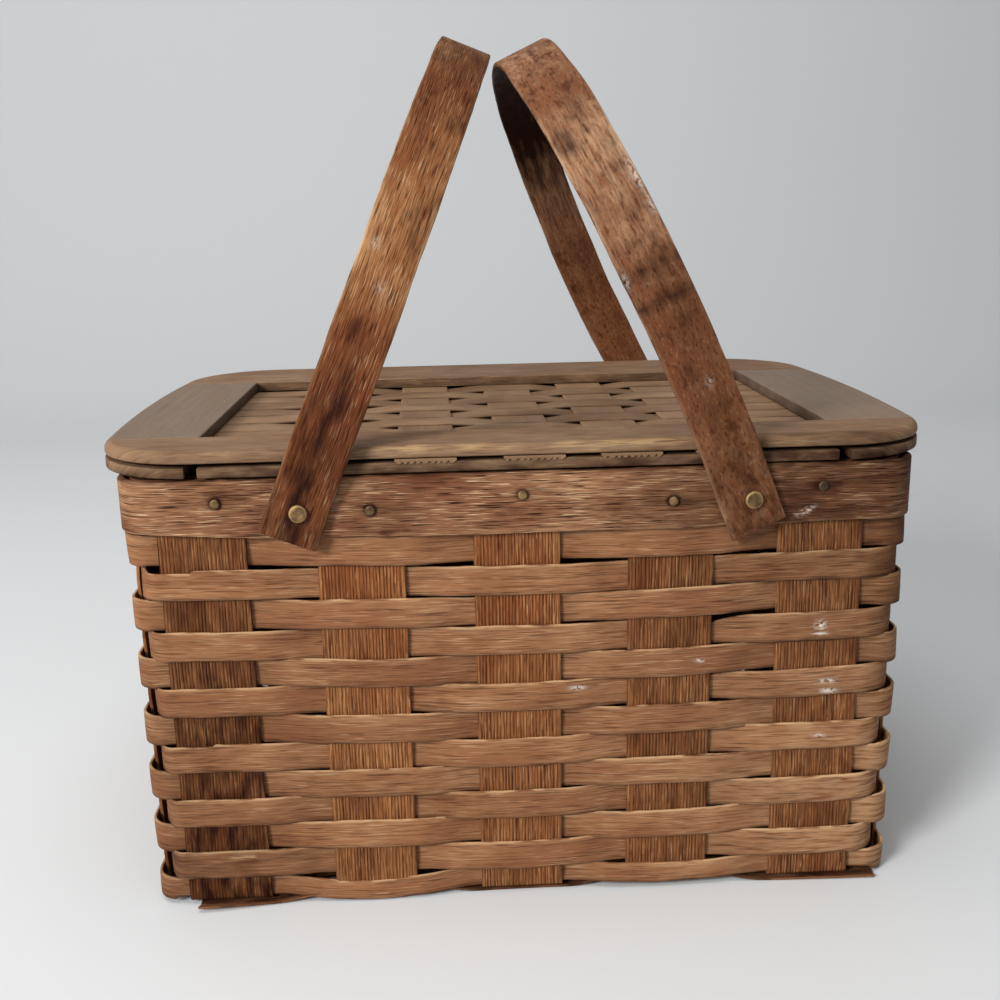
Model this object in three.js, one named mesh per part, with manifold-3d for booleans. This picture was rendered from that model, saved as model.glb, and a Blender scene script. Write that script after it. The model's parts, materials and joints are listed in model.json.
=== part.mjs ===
// A woven splint picnic basket with a framed lid and two swing handles.
// Millimetres, +Z up. The front faces -Y, and z = 0 is the underside of the woven bottom.
import * as THREE from "three";
import { mergeVertices } from "three/addons/utils/BufferGeometryUtils.js";
import Module from "manifold-3d";

const wasm = await Module();
wasm.setup();

// Body: the mid-planes of the upright stakes are a rectangle in plan
const bodyLength = 401;
const bodyDepth = 298;
const rimTop = 239.6;
const fitGap = 0.3;

// Stakes: wide ridged splints, U shaped, that cross under the basket
const stakeWidth = 44.5;
const stakeThickness = 1.8;
const stakeBendRadius = 1.5;
const crossStakeCount = 5;
const lengthStakeCount = 4;
const frontStakeMargin = 18.45;
const crossStakeShift = -3;
const endStakeMargin = 16;
const stakeTopDrop = 1;

// Weavers: narrow splints that run round the wall
const weaverWidth = 15.4;
const weaverThickness = 1.4;
const weaverGap = 0.43;
const lowestWeaverLeast = 8;
const weaverCornerRadius = 12;
const weaverEase = 1.2;

// Rim: two bands with the stake tops between them
const rimHeight = 30;
const outerRimThickness = 3.8;
const innerRimThickness = 3.5;
const rimToWeaver = 4.3;

// Lid frame: two crossed layers of boards
const lidGap = 0.8;
const lidTopThickness = 6.2;
const lidLowerThickness = 5.4;
const lidEndOverhang = 16.8;
const lidFrontSetback = 0.1;
const lidEndBow = 4;
const lidFrontRadius = 52;
const lidBackRadius = 60;
const frontRailWidth = 40.3;
const backRailWidth = 69.3;
const endBoardWidth = 55.1;
const lowerEndWidth = 54.3;
const lowerRailWidth = 36;
const lowerRailGap = 6.5;

// Lid panel: ridged splints across, smooth splints along
const crossSplintCount = 5;
const crossSplintWidth = 31;
const crossSplintThickness = 1.4;
const crossSplintMargin = 63.2;
const crossSplintInset = 1.5;
const longSplintCount = 8;
const longSplintGap = 1.175;
const longSplintThickness = 1;
const longSplintInset = 8;

// Handles: bent strips that turn on rivets through the rim
const handleWidth = 30.2;
const handleThickness = 4.2;
const handleHeight = 252.65;
const handleTail = 16.5;
const handleBow = 4;
const handleShoulder = 36;
const leftArchPower = 1.9;
const rightArchPower = 3;
const handleMeetingX = -4.6;
const pivotDrop = 17.1;
const leftPivotInset = 10.6;
const handleGap = 0.4;

// Rivets and nails
const rivetShaftRadius = 2.5;
const rivetHeadRadius = 4.6;
const rivetHeadHeight = 2.4;
const rivetTailRadius = 4;
const rivetTailHeight = 1.2;
const nailShankRadius = 0.8;
const nailHeadRadius = 2.5;
const nailHeadHeight = 1.2;
const nailInset = 3;
const nailZigzag = 2.8;
const nailTip = 0.4;

// Hinges: one knuckle on the rim leaf, which holds the pin, and one on the lid leaf
const hingeFromMiddle = 45;
const hingeLeafWidth = 14;
const hingeLeafThickness = 1.2;
const hingeRimLeafLength = 24;
const hingeKnuckleRadius = 2.3;
const hingePinRadius = 0.95;
const hingePinBelowLidTop = 3.2;

// Facets along curved stretches
const bendSteps = 4;
const cornerSteps = 4;
const archSteps = 12;
const bowSteps = 4;
const roundSides = 16;

// Planes and heights that several pieces share
const wallX = bodyLength / 2;
const wallY = bodyDepth / 2;
const matHeight = stakeThickness * 1.5 + fitGap;
const rimFaceOffset = stakeThickness / 2 + fitGap;
const rimOuterX = wallX + rimFaceOffset + outerRimThickness;
const rimOuterY = wallY + rimFaceOffset + outerRimThickness;
const rimInnerY = wallY - rimFaceOffset - innerRimThickness;
const rimBottom = rimTop - rimHeight;
const rimMiddle = rimBottom + rimHeight / 2;
const splintSpace = crossSplintThickness + 2 * fitGap;
const lidBottom = rimTop + lidGap;
const splintBottom = lidBottom + lidLowerThickness;
const lidTopBottom = splintBottom + splintSpace;
const lidTop = lidTopBottom + lidTopThickness;
const splintMiddle = splintBottom + splintSpace / 2;
const lidX = rimOuterX + lidEndOverhang;
const lidY = rimOuterY - lidFrontSetback;
const handleInnerY = rimOuterY + handleGap;
const handleOuterY = handleInnerY + handleThickness;
const stakePitchX = (bodyLength - 2 * frontStakeMargin - stakeWidth) / (crossStakeCount - 1);
const stakePitchY = (bodyDepth - 2 * endStakeMargin - stakeWidth) / (lengthStakeCount - 1);
const pivotZ = rimTop - pivotDrop;

// Each handle is pivoted between the two outer stakes on its side and leans in to meet the other one
const pivotGap = stakePitchX * (crossStakeCount - 2) / 2;
const pivotPlaces = new Map([
  [-1, crossStakeShift - pivotGap + leftPivotInset],
  [1, crossStakeShift + pivotGap],
]);
function handleLean(side) {
  const reach = handleHeight + handleThickness / 2;
  const meetingRadius = Math.hypot(reach, handleWidth / 2);
  const run = side * (pivotPlaces.get(side) - handleMeetingX) - fitGap / 2;
  return Math.asin(run / meetingRadius) - Math.atan(handleWidth / 2 / reach);
}

// Evenly spaced places about a middle
function spread(count, pitch, middle = 0) {
  return Array.from({ length: count }, (unused, index) => middle + (index - (count - 1) / 2) * pitch);
}
const crossStakePlaces = spread(crossStakeCount, stakePitchX, crossStakeShift);
const lengthStakePlaces = spread(lengthStakeCount, stakePitchY);
const crossSplintPitch = 2 * (lidX - endBoardWidth - crossSplintMargin) / (crossSplintCount - 1);
const crossSplintPlaces = spread(crossSplintCount, crossSplintPitch);
const nailSpots = spread(crossStakeCount, stakePitchX - nailInset).map((x, index) => (
  { x, z: rimMiddle + (index % 2 === 0 ? nailZigzag : -nailZigzag) }));

// Materials
function finish(color, roughness, metalness = 0) {
  return new THREE.MeshStandardMaterial({ color, roughness, metalness });
}
const stakeWood = finish(0xa8673a, 0.7);
const weaverWood = finish(0xa9744e, 0.65);
const rimWood = finish(0x8c5232, 0.65);
const handleWood = finish(0x83482c, 0.65);
const lidWood = finish(0x95785f, 0.75);
const panelWood = finish(0xa28a70, 0.75);
const brass = finish(0x9b8a55, 0.4, 1);

// Geometry with shared corners, no empty triangles and its faces pointing out
function closed(geometry) {
  const plain = geometry.index ? geometry.clone() : mergeVertices(geometry);
  plain.deleteAttribute("normal");
  plain.deleteAttribute("uv");
  const merged = mergeVertices(plain, 1e-4);
  const corners = merged.index.array;
  const at = (index) => new THREE.Vector3().fromBufferAttribute(merged.attributes.position, index);
  const kept = [];
  let volume = 0;
  for (let i = 0; i < corners.length; i += 3) {
    const [a, b, c] = corners.subarray(i, i + 3);
    if (a !== b && b !== c && c !== a) {
      kept.push([a, b, c]);
      volume += at(a).dot(at(b).cross(at(c)));
    }
  }
  merged.setIndex(kept.flatMap(([a, b, c]) => (volume < 0 ? [a, c, b] : [a, b, c])));
  return merged;
}

// Joins and cuts between closed geometries
function toSolid(geometry) {
  const shell = closed(geometry);
  const vertProperties = new Float32Array(shell.attributes.position.array);
  const triVerts = new Uint32Array(shell.index.array);
  return new wasm.Manifold(new wasm.Mesh({ numProp: 3, vertProperties, triVerts }));
}
function toGeometry(solid) {
  const { vertProperties, triVerts } = solid.getMesh();
  const geometry = new THREE.BufferGeometry();
  geometry.setAttribute("position", new THREE.BufferAttribute(new Float32Array(vertProperties), 3));
  geometry.setIndex(Array.from(triVerts));
  return geometry;
}
function cut(geometry, tools) {
  return toGeometry(tools.reduce((solid, tool) => solid.subtract(toSolid(tool)), toSolid(geometry)));
}
function join(geometries) {
  return toGeometry(geometries.map(toSolid).reduce((whole, piece) => whole.add(piece)));
}
function common(first, second) {
  return toGeometry(toSolid(first).intersect(toSolid(second)));
}

// Simple shapes between two places
function boxBetween(low, high) {
  const size = high.map((value, axis) => value - low[axis]);
  const middle = high.map((value, axis) => (value + low[axis]) / 2);
  return new THREE.BoxGeometry(...size).translate(...middle);
}
function rodAlongX(radius, fromX, toX, y, z) {
  const rod = new THREE.CylinderGeometry(radius, radius, toX - fromX, roundSides);
  return rod.rotateZ(Math.PI / 2).translate((fromX + toX) / 2, y, z);
}
function rodAlongY(radius, fromY, toY, x, z) {
  const rod = new THREE.CylinderGeometry(radius, radius, toY - fromY, roundSides);
  return rod.translate(x, (fromY + toY) / 2, z);
}

// A line moved sideways by a distance, with mitred corners
function sidestep(points, distance, isLoop) {
  const count = points.length;
  return points.map((point, index) => {
    const before = isLoop ? points[(index + count - 1) % count] : points[Math.max(index - 1, 0)];
    const after = isLoop ? points[(index + 1) % count] : points[Math.min(index + 1, count - 1)];
    const into = point.clone().sub(before).normalize();
    const out = after.clone().sub(point).normalize();
    const first = into.length() > 0 ? into : out;
    const second = out.length() > 0 ? out : into;
    const normal = new THREE.Vector2(first.y + second.y, -first.x - second.x).normalize();
    const share = normal.dot(new THREE.Vector2(first.y, -first.x));
    return point.clone().addScaledVector(normal, distance / share);
  });
}

// A strip of even thickness along a line, extruded by its width
function stripGeometry(points, thickness, width) {
  const right = sidestep(points, thickness / 2, false);
  const left = sidestep(points, -thickness / 2, false);
  const outline = new THREE.Shape([...right, ...left.reverse()]);
  const strip = new THREE.ExtrudeGeometry(outline, { depth: width, bevelEnabled: false });
  return strip.translate(0, 0, -width / 2);
}

// A band of even thickness round a closed line, standing from one height to another
function bandGeometry(outside, inside, bottom, top) {
  const outline = new THREE.Shape(outside);
  outline.holes.push(new THREE.Path(inside));
  const band = new THREE.ExtrudeGeometry(outline, { depth: top - bottom, bevelEnabled: false });
  return band.translate(0, 0, bottom);
}

// A quarter of a round corner, as points about its middle
function quarterArc(centre, radius, startAngle, steps) {
  return Array.from({ length: steps + 1 }, (unused, step) => {
    const angle = startAngle + (step / steps) * Math.PI / 2;
    return new THREE.Vector2(centre.x + radius * Math.cos(angle), centre.y + radius * Math.sin(angle));
  });
}
function roundedRectangle(halfX, halfY, radius) {
  const innerX = halfX - radius;
  const innerY = halfY - radius;
  return [
    ...quarterArc({ x: innerX, y: -innerY }, radius, -Math.PI / 2, 2 * cornerSteps),
    ...quarterArc({ x: innerX, y: innerY }, radius, 0, 2 * cornerSteps),
    ...quarterArc({ x: -innerX, y: innerY }, radius, Math.PI / 2, 2 * cornerSteps),
    ...quarterArc({ x: -innerX, y: -innerY }, radius, Math.PI, 2 * cornerSteps),
  ];
}

// Groups that turn a flat outline upright: the strip's width then lies along X or along Y
function uprightAcrossX() {
  const group = new THREE.Group();
  const [alongX, alongY, alongZ] = [0, 1, 2].map((axis) => new THREE.Vector3().setComponent(axis, 1));
  group.quaternion.setFromRotationMatrix(new THREE.Matrix4().makeBasis(alongY, alongZ, alongX));
  return group;
}
function uprightAcrossY() {
  const group = new THREE.Group();
  group.rotation.x = Math.PI / 2;
  return group;
}

function piece(name, geometry, material) {
  const mesh = new THREE.Mesh(closed(geometry), material);
  mesh.name = name;
  return mesh;
}

const basket = new THREE.Group();
const lid = new THREE.Group();

// The U of a stake: down one wall, under the basket, up the other wall
function stakeLine(wall, bottomPoints) {
  const top = rimTop - stakeTopDrop;
  const bendHeight = matHeight + stakeBendRadius;
  const bendPlace = wall - stakeBendRadius;
  return [
    new THREE.Vector2(-wall, top),
    ...quarterArc({ x: -bendPlace, y: bendHeight }, stakeBendRadius, Math.PI, bendSteps),
    ...bottomPoints,
    ...quarterArc({ x: bendPlace, y: bendHeight }, stakeBendRadius, -Math.PI / 2, bendSteps),
    new THREE.Vector2(wall, top),
  ];
}

// Cross stakes lie flat under the basket, each with a nail hole at the front
const crossStakes = uprightAcrossX();
crossStakePlaces.forEach((place, index) => {
  const strip = stripGeometry(stakeLine(wallY, []), stakeThickness, stakeWidth);
  const nailHole = new THREE.CylinderGeometry(
    nailShankRadius + fitGap, nailShankRadius + fitGap, 6 * stakeThickness, roundSides);
  const { x, z } = nailSpots[index];
  nailHole.rotateZ(Math.PI / 2).translate(-wallY, z, x - place);
  const stake = piece(`cross_stake_${index + 1}`, cut(strip, [nailHole]), stakeWood);
  stake.position.z = place;
  crossStakes.add(stake);
});
basket.add(crossStakes);

// Lengthwise stakes pass under and over the cross stakes in turn
const lengthStakes = uprightAcrossY();
lengthStakePlaces.forEach((place, row) => {
  const step = stakeThickness + fitGap;
  const weave = crossStakePlaces.flatMap((crossing, index) => [-1, 1].map((end) => {
    const level = (index + row) % 2 === 0 ? -step : step;
    return new THREE.Vector2(crossing + end * (stakeWidth / 2 + weaverEase), matHeight + level);
  }));
  const strip = stripGeometry(stakeLine(wallX, weave), stakeThickness, stakeWidth);
  const stake = piece(`length_stake_${row + 1}`, strip, stakeWood);
  stake.position.z = -place;
  lengthStakes.add(stake);
});
basket.add(lengthStakes);

// The four walls in the order in which a weaver meets them
const alongX = new THREE.Vector2(1, 0);
const alongY = new THREE.Vector2(0, 1);
const walls = [
  { run: alongX, out: alongY.clone().negate(), halfRun: wallX, halfOut: wallY, stakes: crossStakePlaces },
  { run: alongY, out: alongX, halfRun: wallY, halfOut: wallX, stakes: lengthStakePlaces },
  { run: alongX.clone().negate(), out: alongY, halfRun: wallX, halfOut: wallY,
    stakes: crossStakePlaces.map((place) => -place).reverse() },
  { run: alongY.clone().negate(), out: alongX.clone().negate(), halfRun: wallY, halfOut: wallX,
    stakes: lengthStakePlaces },
];

// One weaver's line seen from above, outside or inside each stake in turn
function weaverLine(firstSide) {
  const reach = stakeThickness / 2 + fitGap + weaverThickness / 2;
  const points = [];
  let side = firstSide;
  for (const { run, out, halfRun, halfOut, stakes } of walls) {
    for (const place of stakes) {
      for (const end of [-1, 1]) {
        const point = run.clone().multiplyScalar(place + end * (stakeWidth / 2 + weaverEase));
        points.push(point.addScaledVector(out, halfOut + side * reach));
      }
      side = -side;
    }
    for (let step = 0; step <= cornerSteps; step += 1) {
      const share = step / cornerSteps;
      const radius = weaverCornerRadius + reach * side * (2 * share - 1);
      const angle = share * Math.PI / 2;
      const point = run.clone().multiplyScalar(halfRun - weaverCornerRadius + radius * Math.sin(angle));
      const outward = halfOut - weaverCornerRadius + radius * Math.cos(angle);
      points.push(point.addScaledVector(out, outward));
    }
  }
  return points;
}

// Weavers fill the wall from just below the rim down to the bend, where the lowest one is as wide as the room left
const weaverLow = matHeight + stakeBendRadius + fitGap;
const weaverHigh = rimBottom - rimToWeaver;
const weaverPitch = weaverWidth + weaverGap;
const fullRows = Math.floor((weaverHigh - weaverLow - lowestWeaverLeast) / weaverPitch);
for (let row = 0; row <= fullRows; row += 1) {
  const line = weaverLine(row % 2 === 0 ? -1 : 1);
  const top = weaverHigh - row * weaverPitch;
  const bottom = row < fullRows ? top - weaverWidth : weaverLow;
  const outside = sidestep(line, weaverThickness / 2, true);
  const inside = sidestep(line, -weaverThickness / 2, true);
  const ring = bandGeometry(outside, inside, bottom, top);
  basket.add(piece(`weaver_${String(row + 1).padStart(2, "0")}`, ring, weaverWood));
}

// Rim bands, with holes for the rivets and for the front nails
const rivetSpots = [-1, 1].flatMap((end) => [-1, 1].map((side) => ({ end, side })));
function rimHoles() {
  const reach = handleOuterY + rivetHeadHeight;
  const rivetHole = rivetShaftRadius + fitGap;
  const nailHole = nailShankRadius + fitGap;
  return [
    ...[-1, 1].map((side) => rodAlongY(rivetHole, -reach, reach, pivotPlaces.get(side), pivotZ)),
    ...nailSpots.map(({ x, z }) => rodAlongY(nailHole, -reach, -wallY / 2, x, z)),
  ];
}
function rimBand(outerOffset, thickness) {
  const cornerCentre = endStakeMargin + fitGap - rimFaceOffset;
  const loop = (offset) => roundedRectangle(wallX + offset, wallY + offset, cornerCentre + offset);
  const band = bandGeometry(loop(outerOffset), loop(outerOffset - thickness), rimBottom, rimTop);
  return cut(band, rimHoles());
}
basket.add(piece("outer_rim", rimBand(rimFaceOffset + outerRimThickness, outerRimThickness), rimWood));
basket.add(piece("inner_rim", rimBand(-rimFaceOffset, innerRimThickness), rimWood));

// A turned fastener along Y: a domed head outside, a straight shank and an optional flat tail inside
function fastener(headFace, headRadius, headHeight, shankRadius, tailFace, tailRadius, tailHeight) {
  const domeSteps = 3;
  const dome = Array.from({ length: domeSteps + 1 }, (unused, step) => {
    const angle = (step / domeSteps) * Math.PI / 2;
    return new THREE.Vector2(headRadius * Math.cos(angle), headFace + headHeight * Math.sin(angle));
  });
  dome[domeSteps].x = 0;
  const tail = [
    new THREE.Vector2(0, tailFace - tailHeight),
    new THREE.Vector2(tailRadius, tailFace - tailHeight),
    new THREE.Vector2(tailRadius, tailFace),
  ];
  const shank = [new THREE.Vector2(shankRadius, tailFace), new THREE.Vector2(shankRadius, headFace)];
  return new THREE.LatheGeometry([...tail, ...shank, ...dome], roundSides);
}

// Rivets hold the handles to the rim
const endNames = new Map([[-1, "front"], [1, "back"]]);
const sideNames = new Map([[-1, "left"], [1, "right"]]);
rivetSpots.forEach(({ end, side }) => {
  const shape = fastener(
    handleOuterY + fitGap, rivetHeadRadius, rivetHeadHeight, rivetShaftRadius,
    rimInnerY - fitGap, rivetTailRadius, rivetTailHeight);
  const rivet = piece(`rivet_${endNames.get(end)}_${sideNames.get(side)}`, shape, brass);
  rivet.position.set(pivotPlaces.get(side), 0, pivotZ);
  rivet.rotation.z = end < 0 ? Math.PI : 0;
  basket.add(rivet);
});

// Front rim nails, one through each cross stake, at two heights in turn
nailSpots.forEach(({ x, z }, index) => {
  const shape = fastener(
    rimOuterY + fitGap, nailHeadRadius, nailHeadHeight, nailShankRadius,
    rimInnerY, nailShankRadius / 2, nailTip);
  const nail = piece(`rim_nail_${index + 1}`, shape, brass);
  nail.position.set(x, 0, z);
  nail.rotation.z = Math.PI;
  basket.add(nail);
});

// A handle's line: straight tails at the pivots, a slight bow, then a full arch
function handleLine(archPower) {
  const legY = handleInnerY + handleThickness / 2;
  const archY = legY + handleBow;
  const half = [new THREE.Vector2(-legY, -handleTail)];
  for (let step = 0; step <= bowSteps; step += 1) {
    const share = step / bowSteps;
    const swell = share * share * (3 - 2 * share);
    const start = rivetHeadRadius + rivetShaftRadius;
    const height = start + (handleShoulder - start) * share;
    half.push(new THREE.Vector2(-legY - handleBow * swell, height));
  }
  for (let step = 1; step < archSteps; step += 1) {
    const angle = (step / archSteps) * Math.PI / 2;
    const across = Math.cos(angle) ** (2 / archPower);
    const rise = Math.sin(angle) ** (2 / archPower);
    half.push(new THREE.Vector2(-archY * across, handleShoulder + (handleHeight - handleShoulder) * rise));
  }
  const mirrored = half.map((point) => new THREE.Vector2(-point.x, point.y)).reverse();
  return [...half, new THREE.Vector2(0, handleHeight), ...mirrored];
}
for (const side of [-1, 1]) {
  const line = handleLine(side < 0 ? leftArchPower : rightArchPower);
  const strip = stripGeometry(line, handleThickness, handleWidth);
  const bore = rodAlongX(rivetShaftRadius + fitGap, -handleOuterY - handleBow, handleOuterY + handleBow, 0, 0);
  const pivot = new THREE.Group();
  pivot.position.set(pivotPlaces.get(side), 0, pivotZ);
  pivot.rotation.y = -side * handleLean(side);
  const upright = uprightAcrossX();
  upright.add(piece(`${sideNames.get(side)}_handle`, cut(strip, [bore]), handleWood));
  pivot.add(upright);
  basket.add(pivot);
}

// The lid's outline: round corners and ends that bow out a little
function lidSlab(bottom, top) {
  const cornerX = lidX - lidEndBow;
  const outline = new THREE.Shape();
  outline.moveTo(-cornerX + lidFrontRadius, -lidY);
  outline.lineTo(cornerX - lidFrontRadius, -lidY);
  outline.absarc(cornerX - lidFrontRadius, -lidY + lidFrontRadius, lidFrontRadius, -Math.PI / 2, 0);
  outline.quadraticCurveTo(lidX + lidEndBow, 0, cornerX, lidY - lidBackRadius);
  outline.absarc(cornerX - lidBackRadius, lidY - lidBackRadius, lidBackRadius, 0, Math.PI / 2);
  outline.lineTo(-cornerX + lidBackRadius, lidY);
  outline.absarc(-cornerX + lidBackRadius, lidY - lidBackRadius, lidBackRadius, Math.PI / 2, Math.PI);
  outline.quadraticCurveTo(-lidX - lidEndBow, 0, -cornerX, -lidY + lidFrontRadius);
  outline.absarc(-cornerX + lidFrontRadius, -lidY + lidFrontRadius, lidFrontRadius, Math.PI, 1.5 * Math.PI);
  const slab = new THREE.ExtrudeGeometry(outline, { depth: top - bottom, bevelEnabled: false, curveSegments: 8 });
  return slab.translate(0, 0, bottom);
}
function lidBoard(name, bottom, top, low, high) {
  const window = boxBetween([low[0], low[1], bottom - 1], [high[0], high[1], top + 1]);
  lid.add(piece(name, common(lidSlab(bottom, top), window), lidWood));
}

// Top layer: full-length rails, with the end boards between them
const insetFront = -lidY + frontRailWidth;
const insetBack = lidY - backRailWidth;
const insetX = lidX - endBoardWidth;
const beyond = lidX + lidEndBow;
lidBoard("lid_front_rail", lidTopBottom, lidTop, [-beyond, -beyond], [beyond, insetFront]);
lidBoard("lid_back_rail", lidTopBottom, lidTop, [-beyond, insetBack], [beyond, beyond]);
for (const side of [-1, 1]) {
  const [lowX, highX] = side < 0 ? [-beyond, -insetX] : [insetX, beyond];
  const name = `lid_${sideNames.get(side)}_end_board`;
  lidBoard(name, lidTopBottom, lidTop, [lowX, insetFront + fitGap], [highX, insetBack - fitGap]);
}

// Lower layer: full-depth end pieces, with the rails between them
const lowerEndX = lidX - lowerEndWidth;
const lowerRailX = lowerEndX - lowerRailGap;
for (const side of [-1, 1]) {
  const [lowX, highX] = side < 0 ? [-beyond, -lowerEndX] : [lowerEndX, beyond];
  const name = `lid_lower_${sideNames.get(side)}_end`;
  lidBoard(name, lidBottom, splintBottom, [lowX, -beyond], [highX, beyond]);
}
for (const end of [-1, 1]) {
  const [lowY, highY] = end < 0 ? [-beyond, -lidY + lowerRailWidth] : [lidY - lowerRailWidth, beyond];
  const name = `lid_lower_${endNames.get(end)}_rail`;
  lidBoard(name, lidBottom, splintBottom, [-lowerRailX, lowY], [lowerRailX, highY]);
}

// Crosswise splints lie flat between the two layers of rails
crossSplintPlaces.forEach((place, index) => {
  const reach = lidY - crossSplintInset;
  const splint = new THREE.BoxGeometry(crossSplintWidth, 2 * reach, crossSplintThickness);
  const mesh = piece(`lid_cross_splint_${index + 1}`, splint, panelWood);
  mesh.position.set(place, 0, splintMiddle);
  lid.add(mesh);
});

// Lengthwise splints pass over and under the crosswise ones and end between the end boards
const insetDepth = insetBack - insetFront;
const longSplintPitch = insetDepth / longSplintCount;
const longSplintWidth = longSplintPitch - longSplintGap;
const longSplints = uprightAcrossY();
spread(longSplintCount, longSplintPitch).forEach((place, row) => {
  const step = (crossSplintThickness + longSplintThickness) / 2 + fitGap;
  const endX = lidX - longSplintInset;
  const weave = crossSplintPlaces.flatMap((crossing, index) => [-1, 1].map((end) => {
    const level = (index + row) % 2 === 0 ? -step : step;
    return new THREE.Vector2(crossing + end * (crossSplintWidth / 2 + weaverEase), splintMiddle + level);
  }));
  const clampX = insetX - stakeWidth / 2;
  const clamp = (x) => new THREE.Vector2(x, splintMiddle);
  const line = [clamp(-endX), clamp(-clampX), ...weave, clamp(clampX), clamp(endX)];
  const strip = stripGeometry(line, longSplintThickness, longSplintWidth);
  const mesh = piece(`lid_long_splint_${row + 1}`, strip, panelWood);
  mesh.position.z = -(insetFront + insetBack) / 2 - place;
  longSplints.add(mesh);
});
lid.add(longSplints);

// Hinges: the rim leaf rises behind the lid to the knuckle, and the lid leaf sits on the lid's back edge
const hingeZ = lidTop - hingePinBelowLidTop;
const rimLeafY = rimOuterY + fitGap;
const hingeY = rimLeafY + hingeKnuckleRadius;
const leafNudge = fitGap / 2;
for (const side of [-1, 1]) {
  const middle = side * hingeFromMiddle;
  const rimEnd = middle + hingeLeafWidth;
  const lidEnd = middle - hingeLeafWidth;
  const rimLeaf = join([
    boxBetween([middle + leafNudge, rimLeafY, rimTop - hingeRimLeafLength],
      [rimEnd, rimLeafY + hingeLeafThickness, hingeZ]),
    rodAlongX(hingeKnuckleRadius, middle + leafNudge, rimEnd, hingeY, hingeZ),
    rodAlongX(hingePinRadius, lidEnd, middle + hingeLeafWidth / 2, hingeY, hingeZ),
  ]);
  basket.add(piece(`hinge_${sideNames.get(side)}_rim_leaf`, rimLeaf, brass));
  const lidLeaf = join([
    boxBetween([lidEnd, lidY + fitGap, lidBottom + fitGap],
      [middle - leafNudge, lidY + fitGap + hingeLeafThickness, hingeZ]),
    rodAlongX(hingeKnuckleRadius, lidEnd, middle - leafNudge, hingeY, hingeZ),
  ]);
  const bore = rodAlongX(hingePinRadius + fitGap, lidEnd - 1, middle, hingeY, hingeZ);
  lid.add(piece(`hinge_${sideNames.get(side)}_lid_leaf`, cut(lidLeaf, [bore]), brass));
}

const picnicBasket = new THREE.Group();
picnicBasket.add(basket, lid);

export default picnicBasket;
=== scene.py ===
# The looks of a woven splint picnic basket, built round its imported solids. Metres, +Z up, front towards -Y.
import json
import math
from collections import namedtuple

import bmesh
import bpy
import numpy as np
from mathutils import Matrix, Vector


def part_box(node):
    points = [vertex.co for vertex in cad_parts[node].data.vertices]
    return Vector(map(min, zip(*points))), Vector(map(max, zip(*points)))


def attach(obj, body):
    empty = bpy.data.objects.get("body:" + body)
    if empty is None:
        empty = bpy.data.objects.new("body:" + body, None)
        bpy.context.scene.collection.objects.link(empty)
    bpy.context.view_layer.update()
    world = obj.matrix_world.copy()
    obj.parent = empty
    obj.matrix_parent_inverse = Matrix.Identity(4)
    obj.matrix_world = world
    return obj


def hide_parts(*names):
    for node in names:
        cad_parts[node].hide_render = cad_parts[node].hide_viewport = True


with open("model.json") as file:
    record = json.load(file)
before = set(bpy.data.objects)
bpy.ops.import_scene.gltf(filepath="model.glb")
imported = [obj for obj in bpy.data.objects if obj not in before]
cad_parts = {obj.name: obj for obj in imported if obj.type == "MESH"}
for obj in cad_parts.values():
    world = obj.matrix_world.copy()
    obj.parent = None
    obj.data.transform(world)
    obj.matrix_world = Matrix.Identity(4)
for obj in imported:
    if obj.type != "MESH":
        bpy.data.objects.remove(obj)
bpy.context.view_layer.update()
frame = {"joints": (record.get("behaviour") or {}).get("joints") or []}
MM = 0.001


# Places and sizes that the solids give
def low(node):
    return np.array(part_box(node)[0])


def high(node):
    return np.array(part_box(node)[1])


def middle(node):
    return (low(node) + high(node)) / 2


def numbered(name, count):
    return [f"{name}_{number}" for number in range(1, count + 1)]


CROSS_STAKES = numbered("cross_stake", 5)
LENGTH_STAKES = numbered("length_stake", 4)
WEAVERS = [f"weaver_{number:02d}" for number in range(1, 14)]
CROSS_SPLINTS = numbered("lid_cross_splint", 5)
LONG_SPLINTS = numbered("lid_long_splint", 8)
NAILS = numbered("rim_nail", 5)
SIDES = {"left": -1, "right": 1}
ENDS = {"front": -1, "back": 1}
X_WAY, Y_WAY, Z_WAY = np.eye(3)

STAKE_THICKNESS = 1.8 * MM
STAKE_WIDTH = high("cross_stake_1")[0] - low("cross_stake_1")[0]
WALL_X = high("length_stake_1")[0] - STAKE_THICKNESS / 2
WALL_Y = high("cross_stake_1")[1] - STAKE_THICKNESS / 2
STAKE_TOP = high("cross_stake_1")[2]
MAT_LEVEL = low("cross_stake_1")[2] + STAKE_THICKNESS / 2
CROSS_PLACES = np.array([middle(node)[0] for node in CROSS_STAKES])
LENGTH_PLACES = np.array([middle(node)[1] for node in LENGTH_STAKES])
ROW_MIDDLES = np.array([middle(node)[2] for node in WEAVERS])
NAIL_SPOTS = np.array([middle(node)[[0, 2]] for node in NAILS])
RIM_OUTER_Y, RIM_TOP = high("outer_rim")[1:]
RIM_BOTTOM = low("outer_rim")[2]
joints = {joint["name"]: joint for joint in frame["joints"]}


# Curves and drifts
def unit(value):
    return np.clip(value, 0, 1)


def smooth(share):
    return share * share * (3 - 2 * share)


# Smooth steps between levels at rising places
def ease(at, places, levels):
    places = np.asarray(places, float)
    levels = np.asarray(levels, float)
    spot = np.clip(np.searchsorted(places, at, side="right") - 1, 0, len(places) - 2)
    share = unit((at - places[spot]) / (places[spot + 1] - places[spot]))
    return levels[spot] + (levels[spot + 1] - levels[spot]) * smooth(share)


# A smooth drift along a length, the same on every run
def wander(seed, at, spacing, amount):
    first = at.min()
    count = int((at.max() - first) / spacing) + 3
    levels = np.clip(np.random.default_rng(seed).normal(0, 1, count), -2, 2) * amount
    return ease(at, first + spacing * np.arange(count), levels)


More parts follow.
